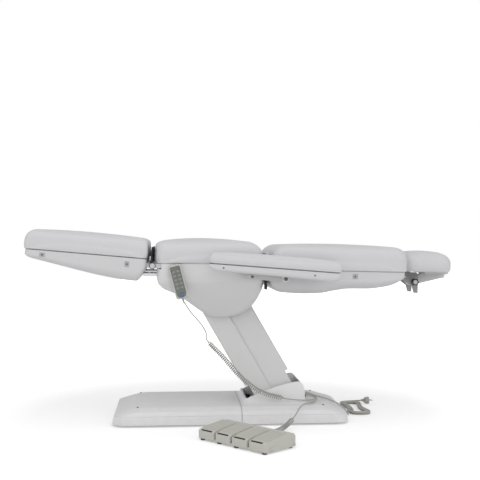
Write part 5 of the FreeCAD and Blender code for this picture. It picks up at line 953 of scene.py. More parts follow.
# Openings for the backrest's actuator, its hinge arms and the headrest's bracket, and for a leg's.
BACK_CUTS = [((0.143, 0.2065, 0.58), (0.195, 0.2255, 0.6697))]
for side in (-1, 1):
    BACK_CUTS.append(((0.143, side * 0.2685, 0.6482), (0.195, side * 0.2755, 0.70)))
    BACK_CUTS.append(((0.743, side * 0.0495, 0.57), (0.80, side * 0.0565, 0.70)))
LEG_CUTS = [((-0.4096, 0.163, 0.5955), (-0.340, 0.193, 0.669)),
            ((-0.374, 0.038, 0.681), (-0.340, 0.047, 0.72)),
            ((-0.374, 0.262, 0.681), (-0.340, 0.271, 0.72))]
ARM_WALL = 0.003

back_tray = tray_piece("back_shell", (0.153, 0.751), (-0.286, 0.286), 0.6737, 0.102, BACK_STOPS, 0.020,
                       0.030, 0.060, 0.50, BACK_PIVOT, BACK_TILT)
leg_tray = tray_piece("leg_shell_right", (-0.874, -0.366), (0.010, 0.294), 0.7162, 0.095, LEG_STOPS, 0.0,
                      0.022, 0.030, 0.55, LEG_PIVOT, LEG_TILT)
arm_tray = tray_piece("arm_shell_right", (-0.111, 0.441), (0.336, 0.424), 0.6777, 0.036, ARM_STOPS, 0.0,
                      0.018, 0.012, 0.55, ARM_PIVOT, ARM_TILT)
tilted_boxes(walled(back_tray), BACK_CUTS, BACK_PIVOT, BACK_TILT)
tilted_boxes(walled(leg_tray), LEG_CUTS, LEG_PIVOT, LEG_TILT)
sharp_past(walled(arm_tray, ARM_WALL))
dressed(back_tray, "tray_white_painted_shade", "back", "back_tray")
for tray, name, node, body in ((leg_tray, "leg_shell", "leg_tray_", "leg_"),
                               (arm_tray, "arm_shell", "armrest_tray_", "armrest_")):
    for word, piece in paired(tray, name, True):
        dressed(sharp_past(piece), "tray_white_painted_shade", body + word, node + word)
print("trays", [len(p.data.polygons) for p in (back_tray, leg_tray, arm_tray)])

# %% [markdown]
# The armrest tray carries a lug with an eye, through which the bracket's pin runs. Its outline is
# the farther of a circle and a straight-sided block above it, seen from the pin.

# %% Armrest lugs
LUG_RADIUS, LUG_EYE, LUG_HEIGHT = 0.015, 0.0086, 0.038
LUG_INNER, LUG_OUTER = 0.345, 0.365


def armrest_lug(name, side, sides=72):
    """Four rings round the pin: eye and outline, on both faces, joined into a closed ring."""
    angle = np.linspace(0, math.tau, sides, endpoint=False)
    c, s = np.cos(angle), np.sin(angle)
    wide = LUG_RADIUS / np.maximum(np.abs(c), 1e-6)
    tall = LUG_HEIGHT / np.maximum(s, 1e-6)
    outline = np.where(s > 0, np.maximum(LUG_RADIUS, np.minimum(wide, tall)), LUG_RADIUS)
    eye = np.full(sides, LUG_EYE)
    rings = []
    for radius, y in ((eye, LUG_INNER), (outline, LUG_INNER), (outline, LUG_OUTER), (eye, LUG_OUTER)):
        x, z = ARM_PIVOT[0] + radius * c, ARM_PIVOT[1] + radius * s
        rings.append(np.stack([x, np.full(sides, y * side), z], -1))
    points = turned(np.array(rings), ARM_PIVOT, ARM_TILT)
    return sharp_past(mesh_piece(name, points, grid_faces(4, sides, True, True)))


for side, word in ((1, "right"), (-1, "left")):
    dressed(armrest_lug("arm_lug_" + word, side), "white_shell", "armrest_" + word)

# %% [markdown]
# Two moulded covers hide the base plate. They rise from a narrow gap over the floor, draw in a
# little, then slope to a flat top: far at the ends, less along the sides. A groove runs round
# them. The same eased levels as in the seat shell would round them too much at the top edge, so
# the levels stand closer there.

# %% Helpers: turned parts
def lathe(name, place, way, profile, sides=24):
    """A closed turned part: circles of given radii at given distances along a line from a place."""
    way = Vector(way).normalized()
    across = way.orthogonal().normalized()
    beside = way.cross(across)
    angle = np.linspace(0, math.tau, sides, endpoint=False)[:, None]
    ring = np.array(across) * np.cos(angle) + np.array(beside) * np.sin(angle)
    rings = [np.array(place) + np.array(way) * along + ring * max(radius, 1e-5) for along, radius in profile]
    return sharp_past(closed_loft(name, np.array(rings)), 30)


def lathes(name, places, way, profile, sides=24, sharp=40):
    """The same turned part at several places, as one piece."""
    parts = [lathe("part", place, way, profile, sides) for place in places]
    return sharp_past(joined_piece(name, parts), sharp)


def screw_profile(r):
    """A low round head with a hollow for the driver."""
    return [(-0.001, r * 0.8), (0.0002, r), (0.0008, r * 0.97), (0.0012, r * 0.85), (0.0013, r * 0.45),
            (0.0006, r * 0.36), (0.0004, r * 0.02)]


# %% Base covers
BASE_LEVELS = np.array([(0.0, 0.0, 0.0), (0.55, 0.10, 0.07), (0.79, 0.62, 0.22), (1.0, 1.0, 1.0)])
BASE_HALF_LENGTH, BASE_HALF_WIDTH, BASE_CORNER = 0.515, 0.245, 0.062
END_SLOPE, SIDE_SLOPE = 0.095, 0.045
BASE_LOW, BASE_RISE = 0.009, 0.068
GROOVE_HEIGHT, GROOVE_DEPTH, GROOVE_HALF = 0.0449, 0.0020, 0.0009
COVER_HEIGHTS = np.concatenate([[0.009, 0.0095, 0.012, 0.020, 0.028, 0.036, 0.041, 0.0433, 0.0441, 0.0449,
                                 0.0457, 0.0465], np.linspace(0.048, 0.0755, 20), [0.0765, 0.077]])
SLOT_FRONT, SLOT_REAR, SLOT_HALF, SLOT_TOP = 0.072, 0.324, 0.127, 0.30


def arm_slot(margin, low):
    """The box that opens a piece for the arms. Margins differ, so that no two cut faces coincide."""
    half = SLOT_HALF + margin
    return ((SLOT_FRONT - margin, -half, low), (SLOT_REAR + margin, half, SLOT_TOP))


def base_form():
    """Rings from the rim over the floor gap up to the flat top, each drawn in by the eased levels."""
    rise = (COVER_HEIGHTS - BASE_LOW) / BASE_RISE
    levels, shares = BASE_LEVELS[:, 0], BASE_LEVELS[:, 1:].T
    ends, sides = ((np.interp(rise, levels, share) + eased(levels, share, rise)) / 2 for share in shares)
    groove = GROOVE_DEPTH * np.exp(-((COVER_HEIGHTS - GROOVE_HEIGHT) / GROOVE_HALF) ** 2)
    groove[0] += 0.0006
    groove[-1] += 0.002
    rings = rounded_outline(BASE_HALF_LENGTH - END_SLOPE * ends - groove,
                            BASE_HALF_WIDTH - SIDE_SLOPE * sides - groove, BASE_CORNER, 10, (60, 110))
    return at_heights(rings, COVER_HEIGHTS)


def base_cover(name, node, split, way):
    """One end of the base form: what lies on that side of the split, as a thin shell."""
    bowl = open_bowl(name, base_form(), (0.1, 0.25, 0.45, 0.7, 0.9))
    cover = walled(bisected(bowl, (split, 0, 0), (way, 0, 0)))
    if way > 0:
        cut_boxes(cover, [arm_slot(0.001, 0.005)])
    return dressed(sharp_past(cover, 28), "base_shell", "base", node)


cover_front = base_cover("base_hood_front", "base_cover_front", 0.042, -1)
cover_rear = base_cover("base_hood_rear", "base_cover_rear", 0.044, 1)

# %% [markdown]
# The boot is the raised hood round the arms' foot: a curved profile with two cheeks, which flares
# out into the cover below. The profile is eased through a few stops and pushed through across
# the chair, its edges are bevelled, and the opening for the arms is cut out.

# %% Boot
BOOT_STOPS = ((0.0, 0.0), (0.04, 0.23), (0.16, 0.40), (0.42, 0.68), (0.66, 0.88), (0.80, 0.97), (0.90, 1.0),
              (0.965, 0.86), (1.0, 0.58))
BOOT_FRONT, BOOT_LENGTH, BOOT_HALF = 0.064, 0.268, 0.135
BOOT_RIM, BOOT_RISE, BOOT_UNDER = 0.075, 0.096, 0.0735
BOOT_FLOOR = (0.0725, -0.1255, 0.050), (0.3235, 0.1255, 0.053)
FLARE_OUT, FLARE_LOW, FLARE_RISE = (0.017, 0.034), 0.0745, 0.0255
CORD_PORTS = [(0.329, y, 0.102) for y in (-0.096, -0.060, -0.024)]
BUSH = [(0, 0.007), (0.003, 0.0088), (0.0045, 0.0092), (0.006, 0.0088), (0.0075, 0.0068), (0.011, 0.0062),
        (0.0115, 0.0040)]
BASE_SCREWS = [(x, y, 0.0768) for x in (-0.405, 0.405) for y in (-0.185, 0.185)]
UP = (0, 0, 1)


def boot_hood():
    """The eased profile, closed along its foot, at both cheeks, with faces between."""
    along = np.concatenate([np.linspace(0, 0.1, 14), np.linspace(0.115, 0.9, 40), np.linspace(0.91, 1.0, 14)])
    rear = BOOT_FRONT + BOOT_LENGTH
    x = np.concatenate([BOOT_FRONT + BOOT_LENGTH * along, [rear, rear, 0.20, BOOT_FRONT]])
    z = np.concatenate([BOOT_RIM + BOOT_RISE * eased(*zip(*BOOT_STOPS), along), [0.10] + [BOOT_UNDER] * 3])
    count = len(x)
    points = np.concatenate([np.stack([x, np.full(count, y), z], -1) for y in (-BOOT_HALF, BOOT_HALF)])
    cheeks = [list(range(count)), list(range(2 * count - 1, count - 1, -1))]
    hood = mesh_piece("boot_hood", points, grid_faces(2, count, closed_columns=True) + cheeks)
    bevel = hood.modifiers.new("edges", "BEVEL")
    bevel.width, bevel.segments, bevel.limit_method, bevel.angle_limit = 0.0045, 3, "ANGLE", math.radians(50)
    return sharp_past(cut_boxes(settle(hood), [arm_slot(0.0, 0.05)]), 30)


def boot_flare():
    """Rounded rectangles whose size falls with the square of the way up."""
    t = np.linspace(0, 1, 14)
    out = (1 - t) ** 2.2
    half_length = BOOT_LENGTH / 2
    rings = rounded_outline(half_length + FLARE_OUT[0] * out, BOOT_HALF + FLARE_OUT[1] * out,
                            0.012, 6, (30, 30))
    rings[..., 0] += BOOT_FRONT + half_length
    flare = closed_loft("boot_flare", at_heights(rings, FLARE_LOW + FLARE_RISE * t))
    return sharp_past(cut_boxes(flare, [arm_slot(0.0005, 0.05)]), 30)


boot_pieces = [dressed(piece, "base_shell", "base")
               for piece in (boot_hood(), boot_flare(), box_piece("boot_floor", *BOOT_FLOOR))]
dressed(lathes("cord_bushes", CORD_PORTS, (1, 0, 0), BUSH, sharp=32), "black_plastic", "base")
base_screws = lathes("base_screws", BASE_SCREWS, UP, screw_profile(0.005), 20, 32)
dressed(base_screws, "dark_metal", "base")
print("base pieces", [len(p.data.polygons) for p in (cover_front, cover_rear, *boot_pieces)])

# %% [markdown]
# The hand control lies in the palm, so all its edges are rounded, with a fine seam where its two
# shells meet. It is modelled lying on its back and then hung on the seat shell, where the CAD part
# has it. Its film keypad has ten pads in two rows, and a round key below.

# %% Hand control
HAND_PLACE = np.array((-0.249, -0.290, 0.695))
HAND_LEAN = math.radians(-14.7)


def hung(points):
    """From lying (across, along, out of its face) to hanging on the near side of the seat shell."""
    points = np.asarray(points, float)
    x, y, z = points[..., 0], -points[..., 2], points[..., 1]
    c, s = math.cos(HAND_LEAN), math.sin(HAND_LEAN)
    return np.stack([x * c + z * s, y, z * c - x * s], -1) + HAND_PLACE


def hang_up(piece, finish_name, node=None, body="seat"):
    """A piece modelled lying down is hung in its place and dressed."""
    set_points(piece, hung(points_of(piece)))
    return dressed(piece, finish_name, body, node)


def flat_rings(half_x, half_y, corner, heights, insets, centre):
    """Rings of one rounded outline, each drawn in by its inset and lifted to its height."""
    insets = np.asarray(insets, float)
    rings = rounded_outline(half_x - insets, half_y - insets, np.maximum(corner - insets, 0.0004), 8, (8, 16))
    rings = rings + np.asarray(centre)
    return at_heights(rings, heights)


def film_rings():
    """The film's outline is squarish above and rounder below, where it closes round the key."""
    heights, insets = (0.0226, 0.0236, 0.0239, 0.0240), (0, 0, 0.0002, 0.0006)
    rings = flat_rings(0.0212, 0.0665, 0.006, heights, insets, (0, -0.0725))
    low = np.clip((-0.118 - rings[..., 1]) / 0.021, 0, 1)
    rings[..., 0] *= 1 - 0.30 * low ** 2
    return rings


KEY_Y = -0.129
KEY_HOLE, POCKET_RADIUS = 0.0104, 0.0103
KEY_RING_RADIUS = 0.0114
KEY_CAP = [(0, 0.0099), (0.0066, 0.0099), (0.0076, 0.0096),
           (0.0081, 0.0088), (0.0079, 0.006), (0.0076, 0.003)]
BUTTON_HEIGHTS, BUTTON_INSETS = (0.0238, 0.0246, 0.0250, 0.0252, 0.0250), (0, 0, 0.0003, 0.0009, 0.0030)
BUTTON_PLACES = [(x, -0.012 - 0.104 * row / 6) for row in range(1, 6) for x in (-0.009, 0.009)]
DOT = [(0, 0.0019), (0.0009, 0.0019), (0.0012, 0.0014)]
DOT_PLACES = [(x, -0.0225 + x * 0.1, 0.0234) for x in (-0.0165, 0.0165)]
RELIEF = [(0.0, 0.0052)] + [(0.002 + 0.0022 * i + d, 0.0052 - 0.00022 * i - (0.0006 if d else 0))
                            for i in range(9) for d in (0.0, 0.0009)] + [(0.0235, 0.0031)]

quarter = np.linspace(0, math.pi / 2, 7)
seam_heights, seam_insets = [0.0108, 0.0112, 0.0115, 0.0118, 0.0122], [0, 0.0002, 0.0005, 0.0002, 0]
body_z = np.concatenate([0.0037 * (1 - np.cos(quarter)), seam_heights, 0.01725 + 0.00575 * np.sin(quarter)])
body_in = np.concatenate([0.003 * (1 - np.sin(quarter)), seam_insets, 0.004 * (1 - np.cos(quarter))])
hand_body = closed_loft("hand_body", flat_rings(0.027, 0.073, 0.012, body_z, body_in, (0, -0.073)))
pocket = lathe("key_pocket", (0, KEY_Y, 0.015), UP, [(0, POCKET_RADIUS), (0.02, POCKET_RADIUS)], 40)
hang_up(sharp_past(cut_away(hand_body, [pocket]), 40), "beige_plastic", node="handset_shell")
hook = box_piece("hook", (-0.010, -0.052, -0.0047), (0.010, -0.030, 0.001))
relief = lathe("hand_relief", (0, -0.1445, 0.0115), (0, -1, 0), RELIEF, 18)
sharp_past(hang_up(joined_piece("hand_fittings", [hook, relief]), "cord"))
film = closed_loft("keypad_film", film_rings())
hole = lathe("key_hole", (0, KEY_Y, 0.020), UP, [(0, KEY_HOLE), (0.01, KEY_HOLE)], 40)
hang_up(sharp_past(cut_away(film, [hole]), 40), "keypad", node="handset_keypad")
buttons = [closed_loft("button", flat_rings(0.0062, 0.0048, 0.0034, BUTTON_HEIGHTS, BUTTON_INSETS, place))
           for place in BUTTON_PLACES]
hang_up(sharp_past(joined_piece("keypad_buttons", buttons), 50), "key_face")


def circle(x, z, radius, y, count=48):
    """Points of an upright circle that faces across the chair."""
    angle = np.linspace(0, math.tau, count, endpoint=False)
    return np.stack([x + radius * np.cos(angle), np.full(count, y), z + radius * np.sin(angle)], -1)


key_ring = circle(0, KEY_Y, KEY_RING_RADIUS, 0.0238)[:, [0, 2, 1]]
hang_up(tube_piece("key_ring", key_ring, 0.0011, 8, True), "key_face")
hang_up(lathes("hand_marks", DOT_PLACES, UP, DOT, 16), "black_plastic")
key_cap = sharp_past(lathe("stop_key_cap", (0, KEY_Y, 0.018), UP, KEY_CAP, 36), 40)
hang_up(key_cap, "blue_key", node="handset_stop_key", body="stop_key")
print("hand control", len(hand_body.data.polygons), "faces")

# %% [markdown]
# Steel parts, brackets and the foot control's box have the right shape in CAD, but no real edge is
# perfectly sharp: it catches the light. A copy of the solid has its loose triangles merged and its
# flat faces joined, and gets a narrow bevel along its corners.

# %% Softened edges
def softened(node, width, finish_name, body):
    """A copy of a CAD node with small rounded edges, which stands for it."""
    piece = linked(node + "_eased", NODES[node].data.copy())
    work = bmesh.new()
    work.from_mesh(piece.data)
    bmesh.ops.remove_doubles(work, verts=work.verts[:], dist=0.00001)
    bmesh.ops.dissolve_limit(work, angle_limit=math.radians(1.0), verts=work.verts[:], edges=work.edges[:])
    work.to_mesh(piece.data)
    work.free()
    bevel = piece.modifiers.new("edges", "BEVEL")
    bevel.width, bevel.segments, bevel.limit_method, bevel.angle_limit = width, 2, "ANGLE", math.radians(50)
    return dressed(sharp_past(settle(piece), 40), finish_name, body, node)


for word in ("left", "right"):
    softened("armrest_bracket_" + word, 0.0010, "frame_steel", "seat")
softened("headrest_bracket", 0.0010, "bracket_grey", "back")
softened("headrest_beam", 0.0010, "frame_steel", "headrest")
softened("headrest_board", 0.0012, "frame_steel", "headrest")

# %% [markdown]
# The foot control is a low box with four sloping pedals, each with a raised rib along both sides so
# that a shoe finds it without looking. The top plate is a grid over the pedal: its height is
# the slope, plus a rib that rises and falls smoothly near each side, plus a shallow dish. In front
# of every pedal stands a rounded nose, with a black rod across it that is painted shade of a slit,
# and the box lifts off the floor on rubber.

# %% Foot control
FOOT_PLACE = np.array((0.034, -0.566, 0.0))
FOOT_TURN = math.radians(-49.4)
NOSE_BACK = -0.0706
FOOT_BELLY = 0.0072
PEDAL_PITCH = 0.092
PEDAL_SLOPE = (0.043, 0.019 / 0.130, -0.083)     # height, rise by length, and where it starts
NOSE_HALF, END_NOSE_HALF, NOSE_EDGE = 0.0402, 0.0468, 0.004
FOOT_END = 0.184
TAB = [(-0.001, 0.0062), (0.0012, 0.0062), (0.0018, 0.0055),
       (0.0018, 0.003), (0.0008, 0.0026), (0.0006, 0.0003)]
ARCH = ((-0.064, 0.010), (-0.060, 0.026), (-0.046, 0.032), (0.0, 0.038),
        (0.045, 0.045), (0.062, 0.044), (0.070, 0.034), (0.073, 0.010))
REST = [(0, 0.0082), (0.0007, 0.0092), (0.0069, 0.0092), (0.0074, 0.0086)]
REST_PLACES = ((-0.167, -0.078), (-0.071, -0.078), (0.023, -0.078), (0.172, -0.078), (-0.166, 0.072),
               (0.166, 0.072))


def on_floor(points):
    """Points of the foot control built square, turned and placed beside the base."""
    c, s = math.cos(FOOT_TURN), math.sin(FOOT_TURN)
    x, y = points[..., 0], points[..., 1]
    return np.stack([x * c - y * s, x * s + y * c, points[..., 2]], -1) + FOOT_PLACE


def off_floor(points):
    """The way back, from beside the base to the box built square."""
    c, s = math.cos(FOOT_TURN), math.sin(FOOT_TURN)
    x, y, z = (points - FOOT_PLACE).T
    return np.stack([x * c + y * s, y * c - x * s, z], -1)


foot_box = softened("foot_control_box", 0.0016, "beige_plastic", "base")
set_points(foot_box, off_floor(points_of(foot_box)))
foot_cuts = [((-0.20, -0.10, -0.001), (0.20, 0.11, FOOT_BELLY))]
foot_cuts += [((x - 0.0055, -0.090, 0.014), (x + 0.0055, -0.074, 0.060))
              for x in (-PEDAL_PITCH, 0.0, PEDAL_PITCH)]
cut_boxes(foot_box, foot_cuts)
set_points(foot_box, on_floor(points_of(foot_box)))
sharp_past(foot_box, 40)


def pedal_plate(index):
    """A closed slab: the shaped grid above, the plain slope 8 mm lower below, and a skirt between."""
    middle = (index - 1.5) * PEDAL_PITCH
    front, rear = np.linspace(0, math.pi / 2, 6), np.linspace(0, math.pi / 2, 8)[1:]
    u = np.linspace(-0.0405, 0.0405, 64)
    v = np.concatenate([NOSE_BACK + 0.0006 + 0.003 * (1 - np.cos(front)), np.linspace(-0.065, 0.040, 38),
                        0.040 + 0.0065 * np.sin(rear)])
    uu, vv = np.meshgrid(u, v, indexing="ij")
    side = np.abs(uu)
    slope = PEDAL_SLOPE[0] + PEDAL_SLOPE[1] * (vv - PEDAL_SLOPE[2])
    rib = 0.0032 * smooth_step((side - 0.0295) / 0.005) * (1 - smooth_step((side - 0.0365) / 0.004))
    dish = -0.0018 * (1 - np.clip(side / 0.030, 0, 1) ** 2)
    front_fall = 0.0010 * np.clip((NOSE_BACK + 0.0030 - vv) / 0.0024, 0, 1) ** 2
    rear_fall = 0.0042 * np.clip((vv - 0.0400) / 0.0065, 0, 1) ** 2
    edge = 0.0016 * np.clip((side - 0.0385) / 0.002, 0, 1) ** 2
    ends = smooth_step((vv - NOSE_BACK) / 0.016) * smooth_step((0.044 - vv) / 0.010)
    top = slope + (rib + dish) * ends - front_fall - rear_fall - edge + 0.0002
    sheets = [np.stack([uu + middle, vv, z], -1).reshape(-1, 3) for z in (top, slope - 0.0078)]
    rows, columns = uu.shape
    count = rows * columns
    faces = grid_faces(rows, columns)
    faces += [[i + count for i in face[::-1]] for face in faces]
    rim = ([(0, j) for j in range(columns)] + [(i, columns - 1) for i in range(1, rows)]
           + [(rows - 1, j) for j in range(columns - 2, -1, -1)] + [(i, 0) for i in range(rows - 2, 0, -1)])
    rim = [i * columns + j for i, j in rim]
    faces += [[a, b, b + count, a + count] for a, b in zip(rim, rim[1:] + rim[:1])]
    points = on_floor(np.concatenate(sheets))
    return sharp_past(mesh_piece("pedal_plate_" + str(index + 1), points, faces), 50)


def foot_nose(index):
    """The nose's side outline, repeated across; at both ends it shrinks as a quarter circle does."""
    middle = (index - 1.5) * PEDAL_PITCH
    low = middle - (END_NOSE_HALF if index == 0 else NOSE_HALF)
    high = middle + (END_NOSE_HALF if index == 3 else NOSE_HALF)
    arc = np.linspace(0, math.pi / 2, 9)
    into, out = NOSE_EDGE * (1 - np.cos(arc)), NOSE_EDGE * (1 - np.sin(arc))
    y = np.concatenate([[-0.0850, -0.0865, -0.0865, -0.0865], -0.0775 - 0.009 * np.cos(arc),
                        [NOSE_BACK, NOSE_BACK]])
    z = np.concatenate([[FOOT_BELLY, 0.0084, 0.016, 0.026], 0.0355 + 0.009 * np.sin(arc),
                        [0.0450, FOOT_BELLY]])
    straight = np.linspace(low + NOSE_EDGE, high - NOSE_EDGE, 12)[1:-1]
    x = np.concatenate([low + into, straight, high - into[::-1]])
    inset = np.concatenate([out, np.zeros(10), out[::-1]])[:, None]
    wide = np.broadcast_to(x[:, None], (len(x), len(y)))
    rings = np.stack([wide, y + inset * (y < -0.072), z - inset * (z > 0.030)], -1)
    # A black rod along the nose: painted shade of the slit in it.
    slit_shade = np.array([(middle + d, -0.0810, 0.0397) for d in np.linspace(-0.030, 0.030, 13)])
    return closed_loft("nose", on_floor(rings)), tube_piece("slit_shade", on_floor(slit_shade), 0.0045, 16)


def foot_end(side):
    """One end of the box: a cheek beside the outer pedal, a raised arch, and two screw tabs."""
    cheek = np.array([(NOSE_BACK - 0.0006, 0.026), (NOSE_BACK - 0.0006, 0.0455), (-0.060, 0.0475),
                      (0.040, 0.0622), (0.049, 0.0625), (0.054, 0.0600), (0.055, 0.026)])
    thick = np.array([0.1798, 0.1800, 0.1806, 0.1838, 0.1844, 0.1846]) * side
    lower = np.array([0.0008, 0.0003, 0.0, 0.0, 0.0003, 0.0008])[:, None] * (cheek[:, 1] > 0.030)
    x, y = np.broadcast_to(thick[:, None], lower.shape), np.broadcast_to(cheek[:, 0], lower.shape)
    pieces = [closed_loft("cheek", on_floor(np.stack([x, y, cheek[:, 1] - lower], -1)))]
    arch = [(side * FOOT_END, y, z) for y, z in ARCH]
    pieces.append(tube_piece("arch", on_floor(line_points(np.array(arch), 0.003)), 0.0009, 8))
    way = on_floor(np.array((side, 0.0, 0.0))) - FOOT_PLACE
    for y in (-0.052, 0.077):
        pieces.append(lathe("tab", on_floor(np.array((side * FOOT_END, y, 0.0145))), way, TAB, 20))
    return pieces


noses, slit_shades = zip(*[foot_nose(index) for index in range(4)])
for index in range(4):
    name = "pedal_" + str(index + 1)
    dressed(pedal_plate(index), "pedal_plastic", name, node=name)
dressed(sharp_past(joined_piece("foot_noses", noses), 50), "beige_plastic", "base")
dressed(joined_piece("foot_slit_shades", slit_shades), "black_plastic", "base")
back_way = (-math.sin(FOOT_TURN), math.cos(FOOT_TURN), 0)
dressed(lathe("foot_relief", on_floor(np.array((0.0, 0.0815, 0.029))), back_way, RELIEF, 18), "cord", "base")
ends = joined_piece("foot_end_reliefs", foot_end(-1) + foot_end(1))
dressed(sharp_past(ends, 40), "beige_plastic", "base")
rest_places = [on_floor(np.array((x, y, 0.0003))) for x, y in REST_PLACES]
dressed(lathes("foot_control_rests", rest_places, UP, REST, 28, 32), "feet_rubber", "base")

# %% [markdown]
# The mains lead ends in a moulded two-pin plug, which lies on the floor by its hank, and leaves the
# boot through a ribbed sleeve that keeps it from kinking. The sleeve follows the lead's own line.

# %% Mains plug and sleeve
PLUG_BODY = [(0.0, 0.0046), (0.0015, 0.0058), (0.006, 0.0066), (0.0068, 0.0058), (0.0082, 0.0058),
             (0.009, 0.0078), (0.0115, 0.0086), (0.0123, 0.0076), (0.0137, 0.0076), (0.0146, 0.0105),
             (0.019, 0.0146), (0.0215, 0.0160), (0.0228, 0.0154), (0.0242, 0.0154), (0.0256, 0.0166),
             (0.035, 0.0169), (0.0372, 0.0164), (0.038, 0.0150), (0.0381, 0.010)]
PIN = [(0, 0.0024), (0.0165, 0.0024), (0.0183, 0.0019), (0.0190, 0.0009)]
SLEEVE_STEPS, SLEEVE_RIBS = 90, 8
ALONG = (1, 0, 0)

plug_body = sharp_past(lathe("mains_plug_body", PLUG_START, ALONG, PLUG_BODY, 40), 45)
dressed(plug_body, "mains_cord", "base", "mains_plug")
pin_places = [PLUG_START + (0.0376, y, 0) for y in (-0.0095, 0.0095)]
plug_pins = dressed(lathes("mains_plug_pins", pin_places, ALONG, PIN, 16), "bright_steel", "base")
steps = np.linspace(0, 1, SLEEVE_STEPS)
ribs = 0.0007 * (0.5 + 0.5 * np.sign(np.sin(steps * math.tau * SLEEVE_RIBS)))
sleeve_path = line_points(MAINS_ROUTE, 0.0004)[:SLEEVE_STEPS]
sleeve = tube_piece("mains_sleeve", sleeve_path, 0.0072 - 0.0026 * steps - ribs * (1 - steps), 20)
dressed(sharp_past(sleeve, 45), "mains_cord", "base")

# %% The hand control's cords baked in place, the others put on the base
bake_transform(hand_upper)
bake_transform(hand_curly)
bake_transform(hand_lower)
for piece in (foot_curly, foot_plain, mains):
    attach(piece, "base")

# %% [markdown]
# Small things tell the eye how large the chair is: sunk screws in the trays, the polished ends of
# the hinge pins and the clamp knob's face. Near-black strips in the gaps in front of and behind the
# seat are painted shade of those gaps, and the screw pockets are painted dark as shade.

# %% Small fittings
HEAD_RADIUS = 0.0036
HINGE_DISC = [(0, 0.0118), (0.0050, 0.0118), (0.0060, 0.0110),
              (0.0062, 0.0060), (0.0056, 0.0056), (0.0054, 0.002)]
KNOB_FACE = [(0, 0.0100), (0.0008, 0.0100), (0.0014, 0.0094), (0.0012, 0.0070), (0.0012, 0.0052),
             (0.0018, 0.0050), (0.0020, 0.0042), (0.0020, 0.001)]
BOLT = [(0, 0.0052), (0.003, 0.0052), (0.0038, 0.0044), (0.0038, 0.0024), (0.0020, 0.0022), (0.0018, 0.0005)]
STUD = [(-0.001, 0.0040), (0.003, 0.0040), (0.0034, 0.0058),
        (0.0105, 0.0058), (0.0120, 0.0048), (0.0121, 0.002)]
FRONT_GAP_SHADE_OUTLINE = np.array([(-0.3505, 0.7030), (-0.3428, 0.7700), (-0.3397, 0.7700), (-0.3397, 0.7030)])


def sunk_screw(x, z, y, half_x=0.0115, half_z=0.0105, lean=0.0):
    """A shallow pocket with a soft rim on a side wall, and the screw's head in it; the pocket is painted dark
    as shade.
    """
    side = math.copysign(1, y)
    c, s = math.cos(math.radians(lean)), math.sin(math.radians(lean))

    def upright(piece):
        px, py, pz = points_of(piece).T
        set_points(piece, np.stack([x + px * c + py * s, y + side * pz, z - px * s + py * c], -1))
        return piece

    rim = rounded_outline(half_x, half_z, 0.004, 8, (8, 8))[0]
    rim = np.pad(rim, ((0, 0), (0, 1)), constant_values=0.0003)
    hollow = flat_rings(half_x - 0.0004, half_z - 0.0004, 0.004,
                        (-0.001, 0.0002, 0.0003), (0, 0, 0.0008), (0, 0))
    head = lathe("head", (x, y + side * 0.0002, z), (0, side, 0), screw_profile(HEAD_RADIUS), 20)
    return upright(tube_piece("rim", rim, 0.0009, 6, True)), upright(closed_loft("hollow", hollow)), head


def fittings(name, body, pockets):
    """All sunk screws of one body: rims in the tray's finish, pockets painted dark as shade, heads of steel.
    """
    looks = (("rims", "tray_white_painted_shade", "white_shell"), ("pockets", "pocket_painted_shade", "white_shell"),
             ("screws", "dark_metal", "bright_steel"))
    for pieces, (kind, finish_name, slot) in zip(zip(*[sunk_screw(*pocket) for pocket in pockets]), looks):
        dressed(sharp_past(joined_piece(name + "_" + kind, pieces), 40), finish_name, body)


for side, word in ((-1, "left"), (1, "right")):
    fittings("leg_" + word, "leg_" + word, [(-0.797, 0.7385, side * 0.294, 0.0125, 0.0095, LEG_TILT),
                                            (-0.4464, 0.6985, side * 0.294, 0.0105, 0.0125, LEG_TILT)])
fittings("back_side", "back", [(0.5265, 0.6432, side * 0.286, 0.0125, 0.0115, BACK_TILT) for side in (-1, 1)])

for side, word in ((-1, "left"), (1, "right")):
    out = (0, side, 0)
    places = [(x, side * 0.4238, z) for x, z in ((-0.0469, 0.6855), (0.3302, 0.6537))]
    heads = lathes("arm_screws_" + word, places, out, screw_profile(HEAD_RADIUS), 20)
    dressed(heads, "dark_metal", "armrest_" + word)
    caps = [lathe("cap", (x, side * y, z), out,
                  [(0, r), (0.003, r), (0.004, r - 0.0008), (0.0042, 0.003)], 28)
            for x, y, z, r in ((ARM_PIVOT[0], 0.3668, ARM_PIVOT[1], 0.0074), (0.076, 0.3691, 0.6472, 0.0060))]
    dressed(sharp_past(joined_piece("bracket_caps_" + word, caps), 40), "dark_metal", "seat")
    disc = lathe("hinge_disc_" + word, (LEG_PIVOT[0], side * 0.2792, LEG_PIVOT[1]), out, HINGE_DISC, 36)
    dressed(disc, "frame_steel", "seat")
    rim = tube_piece("hinge_ring_" + word, circle(*LEG_PIVOT, 0.0122, side * 0.2846), 0.0015, 8, True)
    dressed(rim, "black_plastic", "seat")

# A near-black strip in the slit between the leg pads and the seat pad: painted shade of the slit.
front_shade_strip = [np.insert(FRONT_GAP_SHADE_OUTLINE, 1, y, axis=1) for y in (-0.284, 0.284)]
dressed(sharp_past(closed_loft("leg_gap_strip", np.array(front_shade_strip)), 40), "feet_rubber", "seat")

# Near-black strips between the seat shell and the back tray: painted shade of the gap there.
rear_shade_strips = []
for low_y, high_y in ((-0.274, -0.236), (0.236, 0.274)):
    rear_shade_strip = box_piece("rear_shade_strip", (0.1385, low_y, 0.588), (0.1490, high_y, 0.646))
    bevel = rear_shade_strip.modifiers.new("edges", "BEVEL")
    bevel.width, bevel.segments = 0.003, 3
    rear_shade_strips.append(settle(rear_shade_strip))
dressed(sharp_past(joined_piece("rear_gap_shade_strips", rear_shade_strips), 40), "feet_rubber", "seat")

